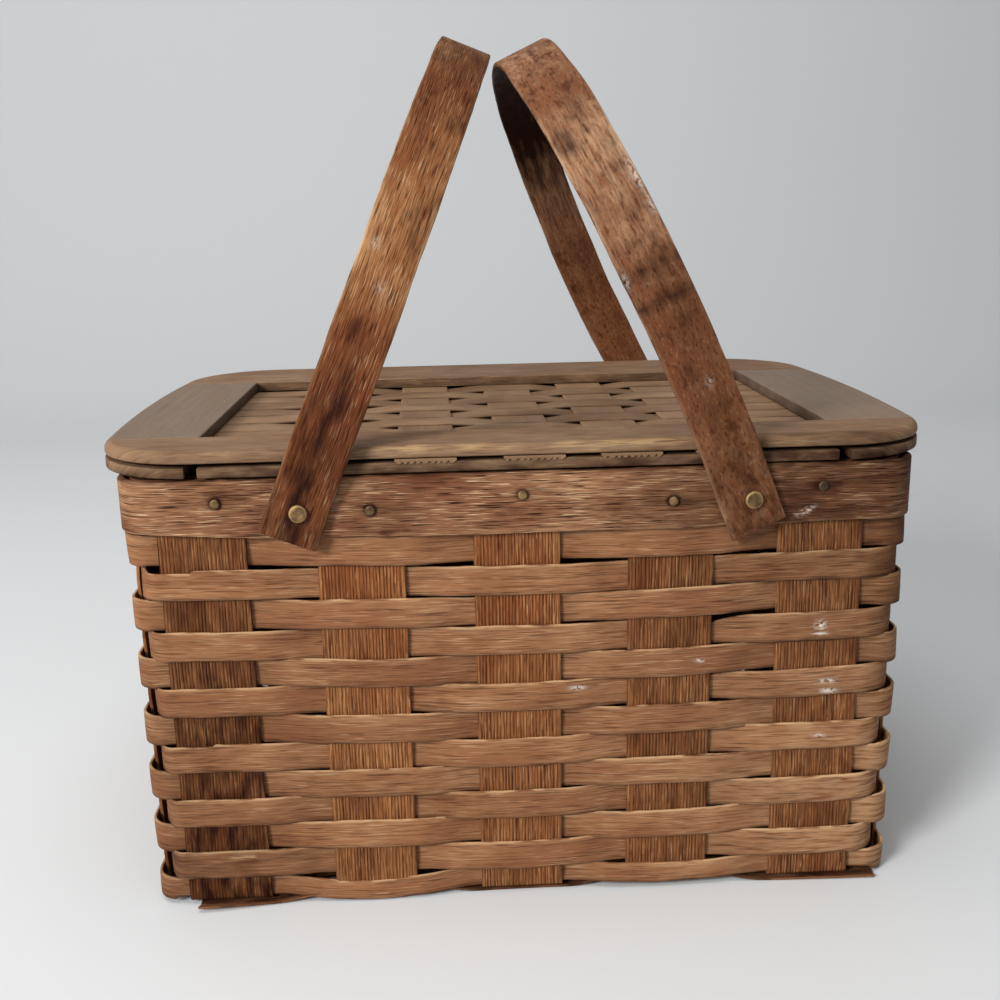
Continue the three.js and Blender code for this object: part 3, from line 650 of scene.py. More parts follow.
def weaver(node, row):
    seed = 100 + row
    first_stake = SEAM_STAKES[0] if passing(row, SEAM_STAKES[0]) < 0 else SEAM_STAKES[1]
    along = np.linspace(WEAVER_SEAM, wall_loop.length - WEAVER_SEAM, 640)
    reach = stake_reaches[first_stake] - wall_loop.length + along
    points, ways = wall_loop.at(reach)
    x, y = points.T
    in_front = y < -WALL_Y + 1 * MM
    offset = weaver_offset(row, reach)
    outside = unit(offset / WEAVER_REACH)
    tilt = wander(seed + 50, along, *WEAVER_TILT)
    if row == LAST_ROW:
        lift = np.zeros(len(along))
        for slip in SLIPS:
            slid = bump(x, CROSS_PLACES[slip.stake], SLIP_REACH) * in_front
            lift -= slip.drop * slid
            tilt += slip.lean * slid
    else:
        lift = row_drift(row, x, y) + wander(seed, along, *WEAVER_LIFT) * np.where(in_front, 1.0, 0.5)
    level = middle(node)[2] + lift
    line = np.column_stack([points + ways * offset[:, None], level])
    out_way = np.column_stack([ways * np.cos(tilt)[:, None], np.sin(tilt)])
    across_way = np.column_stack([-ways * np.sin(tilt)[:, None], np.cos(tilt)])

    width = high(node)[2] - low(node)[2] + WEAVER_SPREAD
    section, out, near = strip_section(width, WEAVER_THICKNESS, 0.32 * MM, 18, 5)
    behind_drop = 1.8 * MM if row == LAST_ROW else 0.5 * MM
    top_edge = ragged(seed + 20, along, *WEAVER_EDGE) + np.where(in_front, 0.0, 0.6 * MM)
    bottom_edge = ragged(seed + 30, along, *WEAVER_EDGE) - np.where(in_front, 0.0, behind_drop)
    for split in SPLITS:
        if split.row == row:
            inside = in_front & (x >= split.start * MM) & (x <= split.end * MM)
            share = unit((x / MM - split.start) / (split.end - split.start))
            top = split.top_start + (split.top_end - split.top_start) * share
            bottom = split.bottom_start + (split.bottom_end - split.bottom_start) * share
            top_edge += inside * top * MM
            bottom_edge += inside * bottom * MM
    across, upper, _ = edged(section, width, top_edge, bottom_edge)
    out = out - (0.12 * MM * outside)[:, None] * (section / (width / 2)) ** 2

    # Painted shade on the lower rows towards the left
    lower_left_shade = unit(-x / WALL_X - 0.45) * unit((row - 1) / 5)
    right_side = unit(x / WALL_X - 0.3)
    # Darker where the row runs inside the wall, as painted shade, and towards the right on the upper rows
    dirt_and_shade = 0.1 * (1 - outside) + 0.6 * lower_left_shade + 1.1 * right_side * unit(1 - row / 7)
    if node == SLIVER_NODE:
        dirt_and_shade = dirt_and_shade + 0.3 * unit(-4 * x / WALL_X - 1.6)
    # Painted shadow line along the row's bottom edge
    dirt_and_shade = unit(dirt_and_shade[:, None] + 0.95 * np.exp(-(width / 2 + section) / (0.9 * MM)))
    # Painted shade under the rim along the top row's upper edge
    if row == 0:
        dirt_and_shade = unit(dirt_and_shade + near * (upper > 0))
    # Pale top edges, stronger where the row runs outside: wear and a painted highlight
    wear_and_highlight = near * np.where(upper > 0, 1.0, 0.2) * (0.55 + 0.45 * outside[:, None])
    wear_and_highlight = unit(wear_and_highlight + 0.6 * (right_side * unit((row - 3) / 6))[:, None])
    if node == SLIVER_NODE:
        sliver = (np.abs(x - SLIVER_X) < SLIVER_REACH) & (y < 0)
        wear_and_highlight = np.maximum(wear_and_highlight, bump(across, SLIVER_LEVEL, SLIVER_HEIGHT) * sliver[:, None])
    paint = np.zeros(out.shape)
    for dab in PAINT_DABS:
        away_x = (x - dab.x * MM)[:, None] / (dab.wide * MM)
        away_z = (level[:, None] + across - dab.z * MM) / (dab.tall * MM)
        paint += np.exp(-away_x ** 2 - away_z ** 2) * (y < 0)[:, None]
    marks = {"wear_and_highlight": wear_and_highlight, "dirt_and_shade": dirt_and_shade, "paint": unit(1.1 * paint)}
    strip(f"{node}_splint", line, across_way, out_way, along, across, out, seed, marks,
          WEAVER_WOOD, "basket", "weaver_splint", [node])


for row, node in enumerate(WEAVERS):
    weaver(node, row)

# Narrow splints that close the bottom along the front and back walls, below every second cross stake
FILLER_WIDTH = 12.5 * MM
FILLER_THICKNESS = 1.2 * MM
FILLER_INSET = 7.5 * MM
FILLER_LEVEL = 0.7 * MM
FILLER_START = {"front": 21 * MM, "back": 3.5 * MM}
FILLER_START_LEVEL = {"front": FILLER_LEVEL, "back": 3.8 * MM}
FILLER_END = 6 * MM
# The edge past the wall's foot bends up
FILLER_FOLD = 2.5 * MM
FILLER_LIFT = 0.4
# How far the front splint has slid out, along its length
FILLER_SKEW_PLACES = np.array([-180, -120, 0, 100, 195]) * MM
FILLER_SKEW = np.array([10.5, 4.0, 0.6, 2.6, 6.0]) * MM


def bottom_filler(end_name, seed):
    end = ENDS[end_name]
    runs = np.linspace(-WALL_X + FILLER_START[end_name], WALL_X - FILLER_END, 160)
    levels = np.where(passing(np.arange(len(CROSS_STAKES)), 0) < 0, FILLER_LEVEL, MAT_LEVEL + WEAVE_STEP)
    steps = crossing_steps((runs[0] + 3 * MM, FILLER_START_LEVEL[end_name]), CROSS_PLACES, STAKE_HALF, levels,
                           (runs[-1] + 1 * MM, FILLER_LEVEL))
    skew = ease(runs, FILLER_SKEW_PLACES, FILLER_SKEW) if end < 0 else 0 * runs
    line = np.stack([runs, end * (WALL_Y - FILLER_INSET + skew), ease(runs, *steps)], 1)
    across, out, _ = strip_section(FILLER_WIDTH, FILLER_THICKNESS, 0.4 * MM, 16, 4)
    past_wall = np.maximum(0, end * (line[:, 1:2] + across) - WALL_Y - FILLER_FOLD)
    # Painted shade on the splint under the wall; the edge past the wall's foot stays lighter
    marks = {"dirt_and_shade": np.where(past_wall > 0, 0.3, 1.0)}
    strip(f"{end_name}_bottom_filler", line, Y_WAY, Z_WAY, runs - runs[0], across,
          out + FILLER_LIFT * past_wall, seed, marks, WEAVER_WOOD, "basket", "weaver_splint")


bottom_filler("front", 160)
bottom_filler("back", 161)

# Rim bands, nailed through the stake tops
OUTER_RIM_THICKNESS = 3.8 * MM
INNER_RIM_THICKNESS = 3.5 * MM
RIM_CORNER_CENTRE = 15.1 * MM
RIM_STEP, NAIL_STEP, NAIL_REACH = 3 * MM, 0.8 * MM, 7 * MM
RIM_TOP_EDGE = np.array([(22, 0.12), (5, 0.07)]) * MM
RIM_BOTTOM_EDGE = np.array([(22, 0.2), (5, 0.12)]) * MM
RIM_SAG_PLACES = np.array([-200, -165, -130, -20, 80, 200]) * MM
RIM_SAG = np.array([2.4, 0.8, -1.1, -2.7, -2.4, -1.2]) * MM
# A scrape of pale paint on the rim, in mm, and how it slopes
SCRAPE = Dab(145.4, 214.2, 3.8, 0.9)
SCRAPE_SLOPE = 0.49


# The rims' lower edge isn't quite straight: it hangs lower in the middle of a wall
def rim_sag(x, y):
    in_front = y < -WALL_Y + 8 * MM
    behind = y > WALL_Y - 8 * MM
    sag = np.where(in_front, ease(x, RIM_SAG_PLACES, RIM_SAG), 0.0)
    sag = np.where(behind, -1.8 * MM * np.cos(np.pi / 2 * x / WALL_X) ** 2, sag)
    ends = -1.5 * MM * np.cos(np.pi / 2 * y / WALL_Y) ** 2
    ends += np.where(x < 0, RIM_SAG[0], RIM_SAG[-1]) * unit(-y / WALL_Y) ** 2
    return np.where(in_front | behind, sag, ends)


def rim_band(node, seed, thickness, seam):
    half_x, half_y = high(node)[:2] - thickness / 2
    loop = Loop(half_x, half_y, RIM_CORNER_CENTRE + (half_x - WALL_X))
    starts = loop.reach(BACK_WALL, seam)
    along = np.arange(0.2 * MM, loop.length - 0.2 * MM, RIM_STEP)
    for nail in (loop.reach(FRONT_WALL, NAIL_SPOTS[:, 0]) - starts) % loop.length:
        along = np.append(along, np.arange(nail - NAIL_REACH, nail + NAIL_REACH, NAIL_STEP))
    along = np.unique(np.round(along, 6))
    along = along[np.append(True, np.diff(along) > 0.3 * MM)]
    points, ways = loop.at(along + starts)
    x, y = points.T
    level = (RIM_TOP + RIM_BOTTOM) / 2
    line = np.column_stack([points, 0 * x + level])
    out_way = np.column_stack([ways, 0 * x])
    height = RIM_TOP - RIM_BOTTOM - 0.4 * MM
    across, out, near = strip_section(height, thickness, 0.8 * MM, 27, 7)
    top_edge = ragged(seed, along, *RIM_TOP_EDGE)
    bottom_edge = ragged(seed + 2, along, *RIM_BOTTOM_EDGE) + rim_sag(x, y)
    grown, upper, lower = edged(across, height, top_edge, bottom_edge)
    outer_front = (y < -WALL_Y)[:, None] * (out > 0)
    out = np.broadcast_to(out, grown.shape).copy()
    dirt_and_shade = np.zeros(grown.shape)
    for nail_x, nail_z in NAIL_SPOTS:
        along_nail = (x - nail_x)[:, None]
        above_nail = grown + level - nail_z
        away = np.hypot(along_nail, above_nail)
        halo = np.exp(-np.abs(along_nail / (10 * MM)) - (above_nail / (2.6 * MM)) ** 2)
        dirt_and_shade += (0.6 * halo + 0.9 * bump(away, 2.7 * MM, 0.9 * MM)) * outer_front
        out -= 0.5 * MM * np.exp(-(away / (3.4 * MM)) ** 4) * outer_front
    dirt_and_shade += 0.72 * unit((x - 25 * MM) / (90 * MM))[:, None]
    dirt_and_shade += 0.16 * unit(wander(seed + 5, along, 35 * MM, 1.0))[:, None]
    # Painted shade under the lid along the rim's top edge
    dirt_and_shade += 0.9 * near * (upper > 0)
    right_of = (x - SCRAPE.x * MM)[:, None]
    above = grown + level - SCRAPE.z * MM - SCRAPE_SLOPE * right_of
    scrape = np.exp(-(right_of / (SCRAPE.wide * MM)) ** 2 - (above / (SCRAPE.tall * MM)) ** 2) * outer_front
    marks = {"wear_and_highlight": near * (lower > 0) * 0.75, "dirt_and_shade": unit(dirt_and_shade - scrape), "paint": scrape}
    strip(f"{node}_band", line, Z_WAY, out_way, along, grown, out, seed, marks,
          RIM_WOOD, "basket", "rim_wood", [node])


rim_band("outer_rim", 200, OUTER_RIM_THICKNESS, 30 * MM)
rim_band("inner_rim", 210, INNER_RIM_THICKNESS, -70 * MM)

# Handles: bent strips with a straight tail at each pivot and a full arch
HANDLE_WIDTH = 30.2 * MM
HANDLE_THICKNESS = 4.2 * MM
HANDLE_HEIGHT = 252.65 * MM
HANDLE_TAIL = 16.5 * MM
HANDLE_BOW = 4 * MM
HANDLE_SHOULDER = 36 * MM
SHOULDER_START = 7 * MM
HANDLE_STEP = 2.5 * MM
HANDLE_EDGE = np.array([(30, 0.2), (6, 0.06)]) * MM
HANDLE_MEETING_X = -4.6 * MM
HANDLE_GAP = 0.4 * MM
MEETING_GAP = 0.15 * MM
TAIL_REACH = 120 * MM
LEG_Y = RIM_OUTER_Y + HANDLE_GAP + HANDLE_THICKNESS / 2
HANDLE_BENDS = {
    "left": {"power": 1.9, "front": 0.2 * MM, "back": 0.0, "skew": -1.5 * MM, "tail": -0.6 * MM},
    "right": {"power": 3.0, "front": 2.2 * MM, "back": -4.7 * MM, "skew": 3.8 * MM, "tail": -3.4 * MM},
}
HANDLE_WOODS = {"left": LEFT_HANDLE_WOOD, "right": RIGHT_HANDLE_WOOD}
# Marks along a handle, by height above its pivot
HANDLE_PLACES = np.array([-20, 20, 60, 92, 125, 150, 190, 222, 243, 253]) * MM
HANDLE_MARKS = {
    "left": {
        "dirt_and_shade": [0.62, 0.58, 0.46, 0.16, 0.06, 0.02, 0.1, 0.38, 0.42, 0.5],
        "warm": [0.75, 0.75, 0.75, 0.6, 0.3, 0.1, 0.3, 0.65, 0.3, 0.0],
        "pale": [0.0, 0.0, 0.0, 0.0, 0.05, 0.1, 0.05, 0.0, 0.05, 0.2],
        "edges": [0.3, 0.3, 0.35, 0.6, 0.9, 0.95, 0.8, 0.3, 0.1, 0.1]},
    "right": {
        "dirt_and_shade": [0.5, 0.46, 0.34, 0.3, 0.3, 0.1, 0.04, 0.3, 0.28, 0.4],
        "warm": [0.5, 0.65, 0.85, 0.85, 0.6, 0.2, 0.1, 0.7, 0.25, 0.0],
        "pale": [0.0, 0.0, 0.0, 0.0, 0.0, 0.15, 0.3, 0.0, 0.05, 0.1],
        "edges": [0.6, 0.5, 0.4, 0.4, 0.5, 0.8, 0.8, 0.4, 0.2, 0.1]},
}
# Painted shade on a handle's inner face, by height above its pivot: darkest near the top of the arch
INNER_PLACES = np.array([0, 80, 130, 185, 225]) * MM
INNER_SHADE = [0.0, 0.2, 0.55, 0.95, 1.6]
# A dark streak up the middle of a leg
STREAK_DIRT = {"left": 0.75, "right": 0.15}
# Dark knots and bands, and pale chips, on the front of a handle: heights above its pivot and sizes in mm
Spot = namedtuple("Spot", "rise across tall wide strength")
HANDLE_SPOTS = {
    "left": [Spot(96, -4, 5, 2.5, 0.55), Spot(64, -2, 9, 3.5, 0.4)],
    "right": [
        Spot(197, -9, 5.5, 4.2, 1.8), Spot(128, 2, 4, 30, 0.5), Spot(111, 1, 3.5, 30, 0.6),
        Spot(142, -4, 3, 10, 0.3), Spot(100, 6, 4, 6, 0.4), Spot(74, -6, 5, 5, 0.35),
        Spot(52, 3, 6, 6, 0.35), Spot(210, 4, 5, 6, 0.3)],
}
HANDLE_CHIPS = {
    "left": [Spot(136, -8.5, 2.6, 2.2, 0.34), Spot(117, 1, 2.6, 2.2, 0.3)],
    "right": [
        Spot(170, 13.4, 8, 1.6, 0.55), Spot(154, 13.7, 4, 1.4, 0.4), Spot(66, 3, 2.5, 1.8, 0.3),
        Spot(127, -13.5, 4, 1.2, 0.4)],
}


# Half of a handle's line, from the front tail to the top of the arch, at even steps
def handle_half(power):
    share = np.linspace(0, 1, 40)
    angle = np.linspace(0, np.pi / 2, 600)[1:]
    arch_y = LEG_Y + HANDLE_BOW
    side = np.concatenate([
        [-LEG_Y], -LEG_Y - HANDLE_BOW * smooth(share), -arch_y * np.cos(angle) ** (2 / power)])
    height = np.concatenate([
        [-HANDLE_TAIL], SHOULDER_START + (HANDLE_SHOULDER - SHOULDER_START) * share,
        HANDLE_SHOULDER + (HANDLE_HEIGHT - HANDLE_SHOULDER) * np.sin(angle) ** (2 / power)])
    along = np.append(0, np.cumsum(np.hypot(np.diff(side), np.diff(height))))
    even = np.linspace(0, along[-1], int(along[-1] / HANDLE_STEP) + 1)
    even = np.insert(even, 1, (0.4 * MM, 1.0 * MM))
    return np.stack([np.interp(even, along, side), np.interp(even, along, height)], 1)


# The angle at which a handle leans in to meet the other one
def handle_lean(side, pivot_x):
    reach = HANDLE_HEIGHT + HANDLE_THICKNESS / 2
    meeting = math.hypot(reach, HANDLE_WIDTH / 2)
    run = side * (pivot_x - HANDLE_MEETING_X) - MEETING_GAP
    return math.asin(run / meeting) - math.atan(HANDLE_WIDTH / 2 / reach)


# How strongly spots mark each point of a handle's surface
def spotted(spots, rise, across):
    total = np.zeros(across.shape)
    for spot in spots:
        away = ((rise - spot.rise * MM) / (spot.tall * MM))[:, None] ** 2
        away = away + ((across - spot.across * MM) / (spot.wide * MM)) ** 2
        total += spot.strength * np.exp(-away)
    return total


def handle(side_name, seed):
    side = SIDES[side_name]
    bends = HANDLE_BENDS[side_name]
    pivot_x, _, pivot_z = joints[f"{side_name}_handle_swing"]["pos_m"]
    lean = handle_lean(side, pivot_x)
    half = handle_half(bends["power"])
    flat = np.vstack([half, (half[:-1] * (-1, 1))[::-1]])
    run, rise = flat.T
    front = run < 0
    along, ahead = follow(flat)
    share = unit(rise / HANDLE_HEIGHT)
    bow = np.where(front, bends["front"], bends["back"]) * np.sin(np.pi * share)
    tail = bends["tail"] * (1 - unit((rise + HANDLE_TAIL) / TAIL_REACH)) ** 2
    bend = bow + bends["skew"] * run / LEG_Y * share + tail * front

    def turned(local_x, y, local_z):
        x = local_x * math.cos(lean) - side * local_z * math.sin(lean)
        z = side * local_x * math.sin(lean) + local_z * math.cos(lean)
        return np.stack([x, y, z], 1)

    zero = 0 * rise
    line = turned(bend, run, rise) + np.array([pivot_x, 0, pivot_z])
    across_way = turned(zero + 1, zero, zero)
    out_way = turned(zero, -ahead[:, 1], ahead[:, 0])
    across, out, near = strip_section(HANDLE_WIDTH, HANDLE_THICKNESS, 1.2 * MM, 19, 13)
    top_edge = ragged(seed + 1, along, *HANDLE_EDGE)
    bottom_edge = ragged(seed + 3, along, *HANDLE_EDGE)
    taken = eased(np.minimum(along, along[-1] - along), 1.1 * MM)[:, None]
    grown = edged(across, HANDLE_WIDTH, top_edge, bottom_edge)[0] - np.sign(across) * taken
    out = out - np.sign(out) * taken

    marked = {mark: ease(rise, HANDLE_PLACES, levels) for mark, levels in HANDLE_MARKS[side_name].items()}
    darkened = marked["dirt_and_shade"] + 0.1 * np.clip(wander(seed + 6, along, 18 * MM, 1.0), 0, 2)
    middle_line = wander(seed + 7, along, 22 * MM, 2.2 * MM)[:, None]
    streak = bump(grown + middle_line, -1 * MM, 4.2 * MM) * unit(1.25 - rise / (90 * MM))[:, None]
    outer_front = front[:, None] * (out > 0)
    inner = out < 0
    dirt_and_shade = darkened[:, None] + STREAK_DIRT[side_name] * streak * front[:, None]
    dirt_and_shade = dirt_and_shade + spotted(HANDLE_SPOTS[side_name], rise, grown) * outer_front
    # The inner face gets painted shade, which may pass full darkness
    dirt_and_shade = dirt_and_shade - 0.25 * (run > 0)[:, None] + ease(rise, INNER_PLACES, INNER_SHADE)[:, None] * inner
    chipped = marked["edges"] * (0.7 + 0.3 * np.clip(wander(seed + 8, along, 30 * MM, 1.0), -1, 1))
    marks = {
        "wear_and_highlight": unit(near * chipped[:, None] + marked["pale"][:, None]),
        "dirt_and_shade": np.clip(dirt_and_shade, 0, 1 + 0.6 * inner),
        "warm": np.maximum(marked["warm"][:, None], 0.75 * inner),
        "paint": spotted(HANDLE_CHIPS[side_name], rise, grown) * outer_front}
    strip(f"{side_name}_handle_strip", line, across_way, out_way, along, grown, out, seed, marks,
          HANDLE_WOODS[side_name], f"{side_name}_handle", "handle_wood", [f"{side_name}_handle"])


handle("left", 300)
handle("right", 320)


# Turned fasteners: a profile of radius and height swept about an axis
def turned_piece(name, seed, profile, centre, axis, marks, node):
    around = 36
    angles = np.linspace(0, 2 * np.pi, around, endpoint=False)
    axis = np.asarray(axis, float)
    first = np.cross(axis, Z_WAY)
    second = np.cross(axis, first)
    profile = np.asarray(profile, float)
    ring = np.cos(angles)[:, None] * first + np.sin(angles)[:, None] * second
    corners = profile[:, 0, None, None] * ring + profile[:, 1, None, None] * axis
    grain = np.stack([corners @ first, corners @ second, np.full(corners.shape[:2], seed)], -1)
    faces = ring_faces(len(profile), around, corners)
    marks = {mark: np.repeat(np.asarray(values, float), around) for mark, values in marks.items()}
    new_piece(name, corners + centre, faces, grain, marks, BRASS, "basket", "brass", [node], crease=50)


# A head with a flat face and a rounded rim, from its underside to its middle
def head_profile(radius, height, edge):
    turn = np.radians([0, 30, 60, 90])
    rim = [(radius - edge + edge * np.cos(a), height - edge + edge * np.sin(a)) for a in turn]
    return [(radius, 0.0), *rim, *[(radius * share, height) for share in (0.6, 0.4, 0.2, 0.04)]]


FASTENER_CORE = 0.2 * MM
RIVET_HEAD, RIVET_HEAD_HEIGHT, RIVET_EDGE = 4.6 * MM, 2.2 * MM, 1.1 * MM
RIVET_SHAFT, RIVET_TAIL, RIVET_TAIL_HEIGHT, RIVET_TAIL_EDGE = 2.5 * MM, 4 * MM, 1.2 * MM, 0.4 * MM
RIVET_GRIME = {"left": 0.1, "right": 0.4}
for end_name, end in ENDS.items():
    for side_name, side in SIDES.items():
        node = f"rivet_{end_name}_{side_name}"
        x, z = middle(node)[[0, 2]]
        outer_face = (high(node) if end > 0 else -low(node))[1]
        inner_face = (low(node) if end > 0 else -high(node))[1]
        head = head_profile(RIVET_HEAD, RIVET_HEAD_HEIGHT, RIVET_EDGE)
        base = outer_face - RIVET_HEAD_HEIGHT
        step = inner_face + RIVET_TAIL_HEIGHT
        tail = [(FASTENER_CORE, inner_face), (RIVET_TAIL - RIVET_TAIL_EDGE, inner_face),
                (RIVET_TAIL, inner_face + RIVET_TAIL_EDGE), (RIVET_TAIL, step), (RIVET_SHAFT, step),
                (RIVET_SHAFT, base)]
        profile = tail + [(radius, base + height) for radius, height in head]
        grime = RIVET_GRIME[side_name]
        dirt_and_shade = [0.6] * len(tail) + [0.8, 0.3 + grime / 2] + [grime] * (len(head) - 2)
        wear_and_highlight = [0.0] * len(tail) + [0.0, 0.2, 0.6, 0.5] + [0.0] * (len(head) - 4)
        turned_piece(f"{node}_brass", 400 + side + 3 * end, profile, np.array([x, 0, z]), (0, end, 0),
                     {"dirt_and_shade": dirt_and_shade, "wear_and_highlight": wear_and_highlight}, node)

NAIL_HEAD, NAIL_HEAD_HEIGHT, NAIL_EDGE = 2.5 * MM, 1.1 * MM, 0.7 * MM
NAIL_SHANK, NAIL_LENGTH, NAIL_POINT = 0.8 * MM, 11 * MM, 1 * MM
NAIL_GRIME = [0.3, 0.6, 0.12, 0.2, 0.8]
for number, node in enumerate(NAILS):
    x, _, z = middle(node)
    head = head_profile(NAIL_HEAD, NAIL_HEAD_HEIGHT, NAIL_EDGE)
    shank = [(FASTENER_CORE, -NAIL_LENGTH), (NAIL_SHANK, -NAIL_LENGTH + NAIL_POINT), (NAIL_SHANK, 0.0)]
    grime = NAIL_GRIME[number]
    dirt_and_shade = [0.5] * len(shank) + [1.0, 0.8, 0.5, 0.3 + grime / 2] + [grime] * (len(head) - 4)
    turned_piece(f"{node}_head", 420 + number, shank + head,
                 np.array([x, low(node)[1] + NAIL_HEAD_HEIGHT, z]), (0, -1, 0), {"dirt_and_shade": dirt_and_shade}, node)

# Lid boards: slices of one rounded outline, with a full nose outside and small easing inside
LID_END_BOW = 4 * MM
LID_FRONT_RADIUS = 52 * MM
LID_BACK_RADIUS = 60 * MM
LID_Y = high("lid_back_rail")[1]
LID_X = max(high("lid_left_end_board")[0], high("lid_right_end_board")[0])
CUT_EASE = (0.15, 0.45, 1.0, 3.0)
SLICE_STEP = 13 * MM
# Where hands have worn the front rail's nose to pale wood, from x to x
WORN_RUNS = np.array([(-80, -44), (22, 82), (-30, -18)]) * MM


def arc(centre, radius, first, last, steps):
    angles = np.radians(np.linspace(first, last, steps))
    return np.stack([centre[0] + radius * np.cos(angles), centre[1] + radius * np.sin(angles)], 1)


def lid_outline():
    corner = LID_X - LID_END_BOW
    front, back = LID_FRONT_RADIUS, LID_BACK_RADIUS
    share = np.linspace(0, 1, 26)[1:-1, None]
    start, end = np.array([corner, -LID_Y + front]), np.array([corner, LID_Y - back])
    pull = np.array([LID_X + LID_END_BOW, 0])
    right_bow = (1 - share) ** 2 * start + 2 * share * (1 - share) * pull + share ** 2 * end
    right = np.vstack([
        arc((corner - front, -LID_Y + front), front, -90, 0, 28), right_bow,
        arc((corner - back, LID_Y - back), back, 0, 90, 28)])
    return np.vstack([right, (right * (-1, 1))[::-1]])


# The whole lid as one slab with a rounded nose above and a small easing below
def lid_slab(bottom, top, nose, under):
    outline = lid_outline()
    ahead = np.roll(outline, -1, axis=0) - outline
    ahead /= np.linalg.norm(ahead, axis=1)[:, None]
    inward = np.stack([-ahead[:, 1], ahead[:, 0]], 1)
    inward = inward + np.roll(inward, 1, axis=0)
    inward /= (inward * inward).sum(axis=1)[:, None] / 2
    turn = np.radians(np.linspace(0, 90, 8))
    profile = [
        (under + 3 * MM, bottom), (under, bottom), (0.3 * under, bottom + 0.3 * under), (0.0, bottom + under)]
    profile += [(nose * (1 - math.cos(a)), top - nose * (1 - math.sin(a))) for a in turn]
    profile += [(nose + 1.5 * MM, top), (nose + 4 * MM, top)]
    return np.array([
        np.column_stack([outline + inward * inset, np.full(len(outline), z)]) for inset, z in profile])


# Cuts a sheet across an axis, and gives the edges along the cut
def slice_at(sheet, axis, place, sign, clear):
    found = bmesh.ops.bisect_plane(
        sheet, geom=[*sheet.verts, *sheet.edges, *sheet.faces], dist=1e-6,
        plane_co=(np.eye(3)[axis] * place).tolist(), plane_no=(np.eye(3)[axis] * sign).tolist(),
        clear_outer=clear)
    return [item for item in found["geom_cut"] if isinstance(item, bmesh.types.BMEdge)]


# Each board is cut from the slab, and its cut edges are eased
def lid_board(node, seed, along_axis, nose, under, inside_edge, dirt_and_shade, wear_and_highlight):
    lower, upper = low(node), high(node)
    rings = lid_slab(lower[2], upper[2], nose, under)
    sheet = bmesh.new()
    verts = [sheet.verts.new(corner) for corner in rings.reshape(-1, 3)]
    for face in ring_faces(len(rings), rings.shape[1], rings):
        sheet.faces.new([verts[spot] for spot in face])
    cuts = []
    for axis, limit in ((0, LID_X), (1, LID_Y)):
        for corner, sign in ((lower, -1), (upper, 1)):
            if abs(corner[axis]) < limit - 8 * MM:
                cuts.append((axis, corner[axis], sign))
    for axis, place, sign in cuts:
        edges = slice_at(sheet, axis, place, sign, True)
        bmesh.ops.holes_fill(sheet, edges=edges, sides=0)
    for axis, place, sign in cuts:
        for share in CUT_EASE:
            slice_at(sheet, axis, place - sign * share * inside_edge, sign, False)
    for axis in (0, 1):
        for place in np.arange(lower[axis] + 9 * MM, upper[axis] - 6 * MM, SLICE_STEP):
            slice_at(sheet, axis, place, 1, False)
    bmesh.ops.recalc_face_normals(sheet, faces=sheet.faces)
    sheet.verts.index_update()
    corners = np.array([vert.co for vert in sheet.verts])
    faces = [[vert.index for vert in face.verts] for face in sheet.faces]
    sheet.free()

    half = (upper[2] - lower[2]) / 2
    over = corners[:, 2] - (lower[2] + half)
    worn_and_highlight = np.where(np.abs(over) < half - 1e-6, wear_and_highlight, 0.0)
    darkened = np.full(len(corners), dirt_and_shade)
    for axis, place, sign in cuts:
        away = np.abs(corners[:, axis] - place)
        taken = eased(away, inside_edge) * 0.7
        corners[:, 2] -= np.sign(over) * taken * unit(np.abs(over) / half)
        worn_and_highlight = np.maximum(worn_and_highlight, wear_and_highlight * 0.6 * (1 - unit(away / inside_edge)))
        # Painted shade on the cut faces
        darkened[away < 0.02 * MM] = 0.6
    x, y, z = corners.T
    grain = np.stack([corners[:, along_axis], corners[:, 1 - along_axis] + 0.8 * z, np.full(len(z), seed)], 1)
    nose_side = unit((-LID_Y + 9 * MM - y) / (4 * MM))
    rightward = unit((x - 20 * MM) / (150 * MM))
    darkened += nose_side * (0.22 + 0.3 * rightward)
    if node == "lid_back_rail":
        darkened += 0.1
    if node == "lid_front_rail":
        darkened += 0.22 * rightward + 0.16 * unit((-x - 60 * MM) / (120 * MM))
        ridge = bump(y, -LID_Y + 1.6 * MM, 2.2 * MM) * (over > 0)
        for start, end in WORN_RUNS:
            along_run = unit(np.minimum(x - start, end - x) / (8 * MM) + 0.5)
            worn_and_highlight = np.maximum(worn_and_highlight, along_run * ridge)
    # Painted shade along the lower boards' bottom edge, over the gap above the rim
    if nose < 1 * MM:
        darkened = np.where(over < -half + 1 * MM, np.maximum(darkened, 0.95), darkened)
    material = LID_WOOD if node.endswith("end_board") else RAIL_WOOD
    new_piece(f"{node}_plank", corners, faces, grain, {"wear_and_highlight": worn_and_highlight, "dirt_and_shade": darkened}, material,
              "lid", "lid_wood", [node], crease=50)


UPPER_BOARDS = ("lid_front_rail", "lid_back_rail", "lid_left_end_board", "lid_right_end_board")
LOWER_BOARDS = ("lid_lower_front_rail", "lid_lower_back_rail", "lid_lower_left_end", "lid_lower_right_end")
for number, node in enumerate(UPPER_BOARDS):
    lid_board(node, 500 + number, along_axis=number // 2, nose=4.3 * MM, under=0.9 * MM,
              inside_edge=0.8 * MM, dirt_and_shade=0.0, wear_and_highlight=0.15)
for number, node in enumerate(LOWER_BOARDS):
    lid_board(node, 510 + number, along_axis=0, nose=0.8 * MM, under=0.8 * MM,
              inside_edge=0.6 * MM, dirt_and_shade=0.55, wear_and_highlight=0.2)

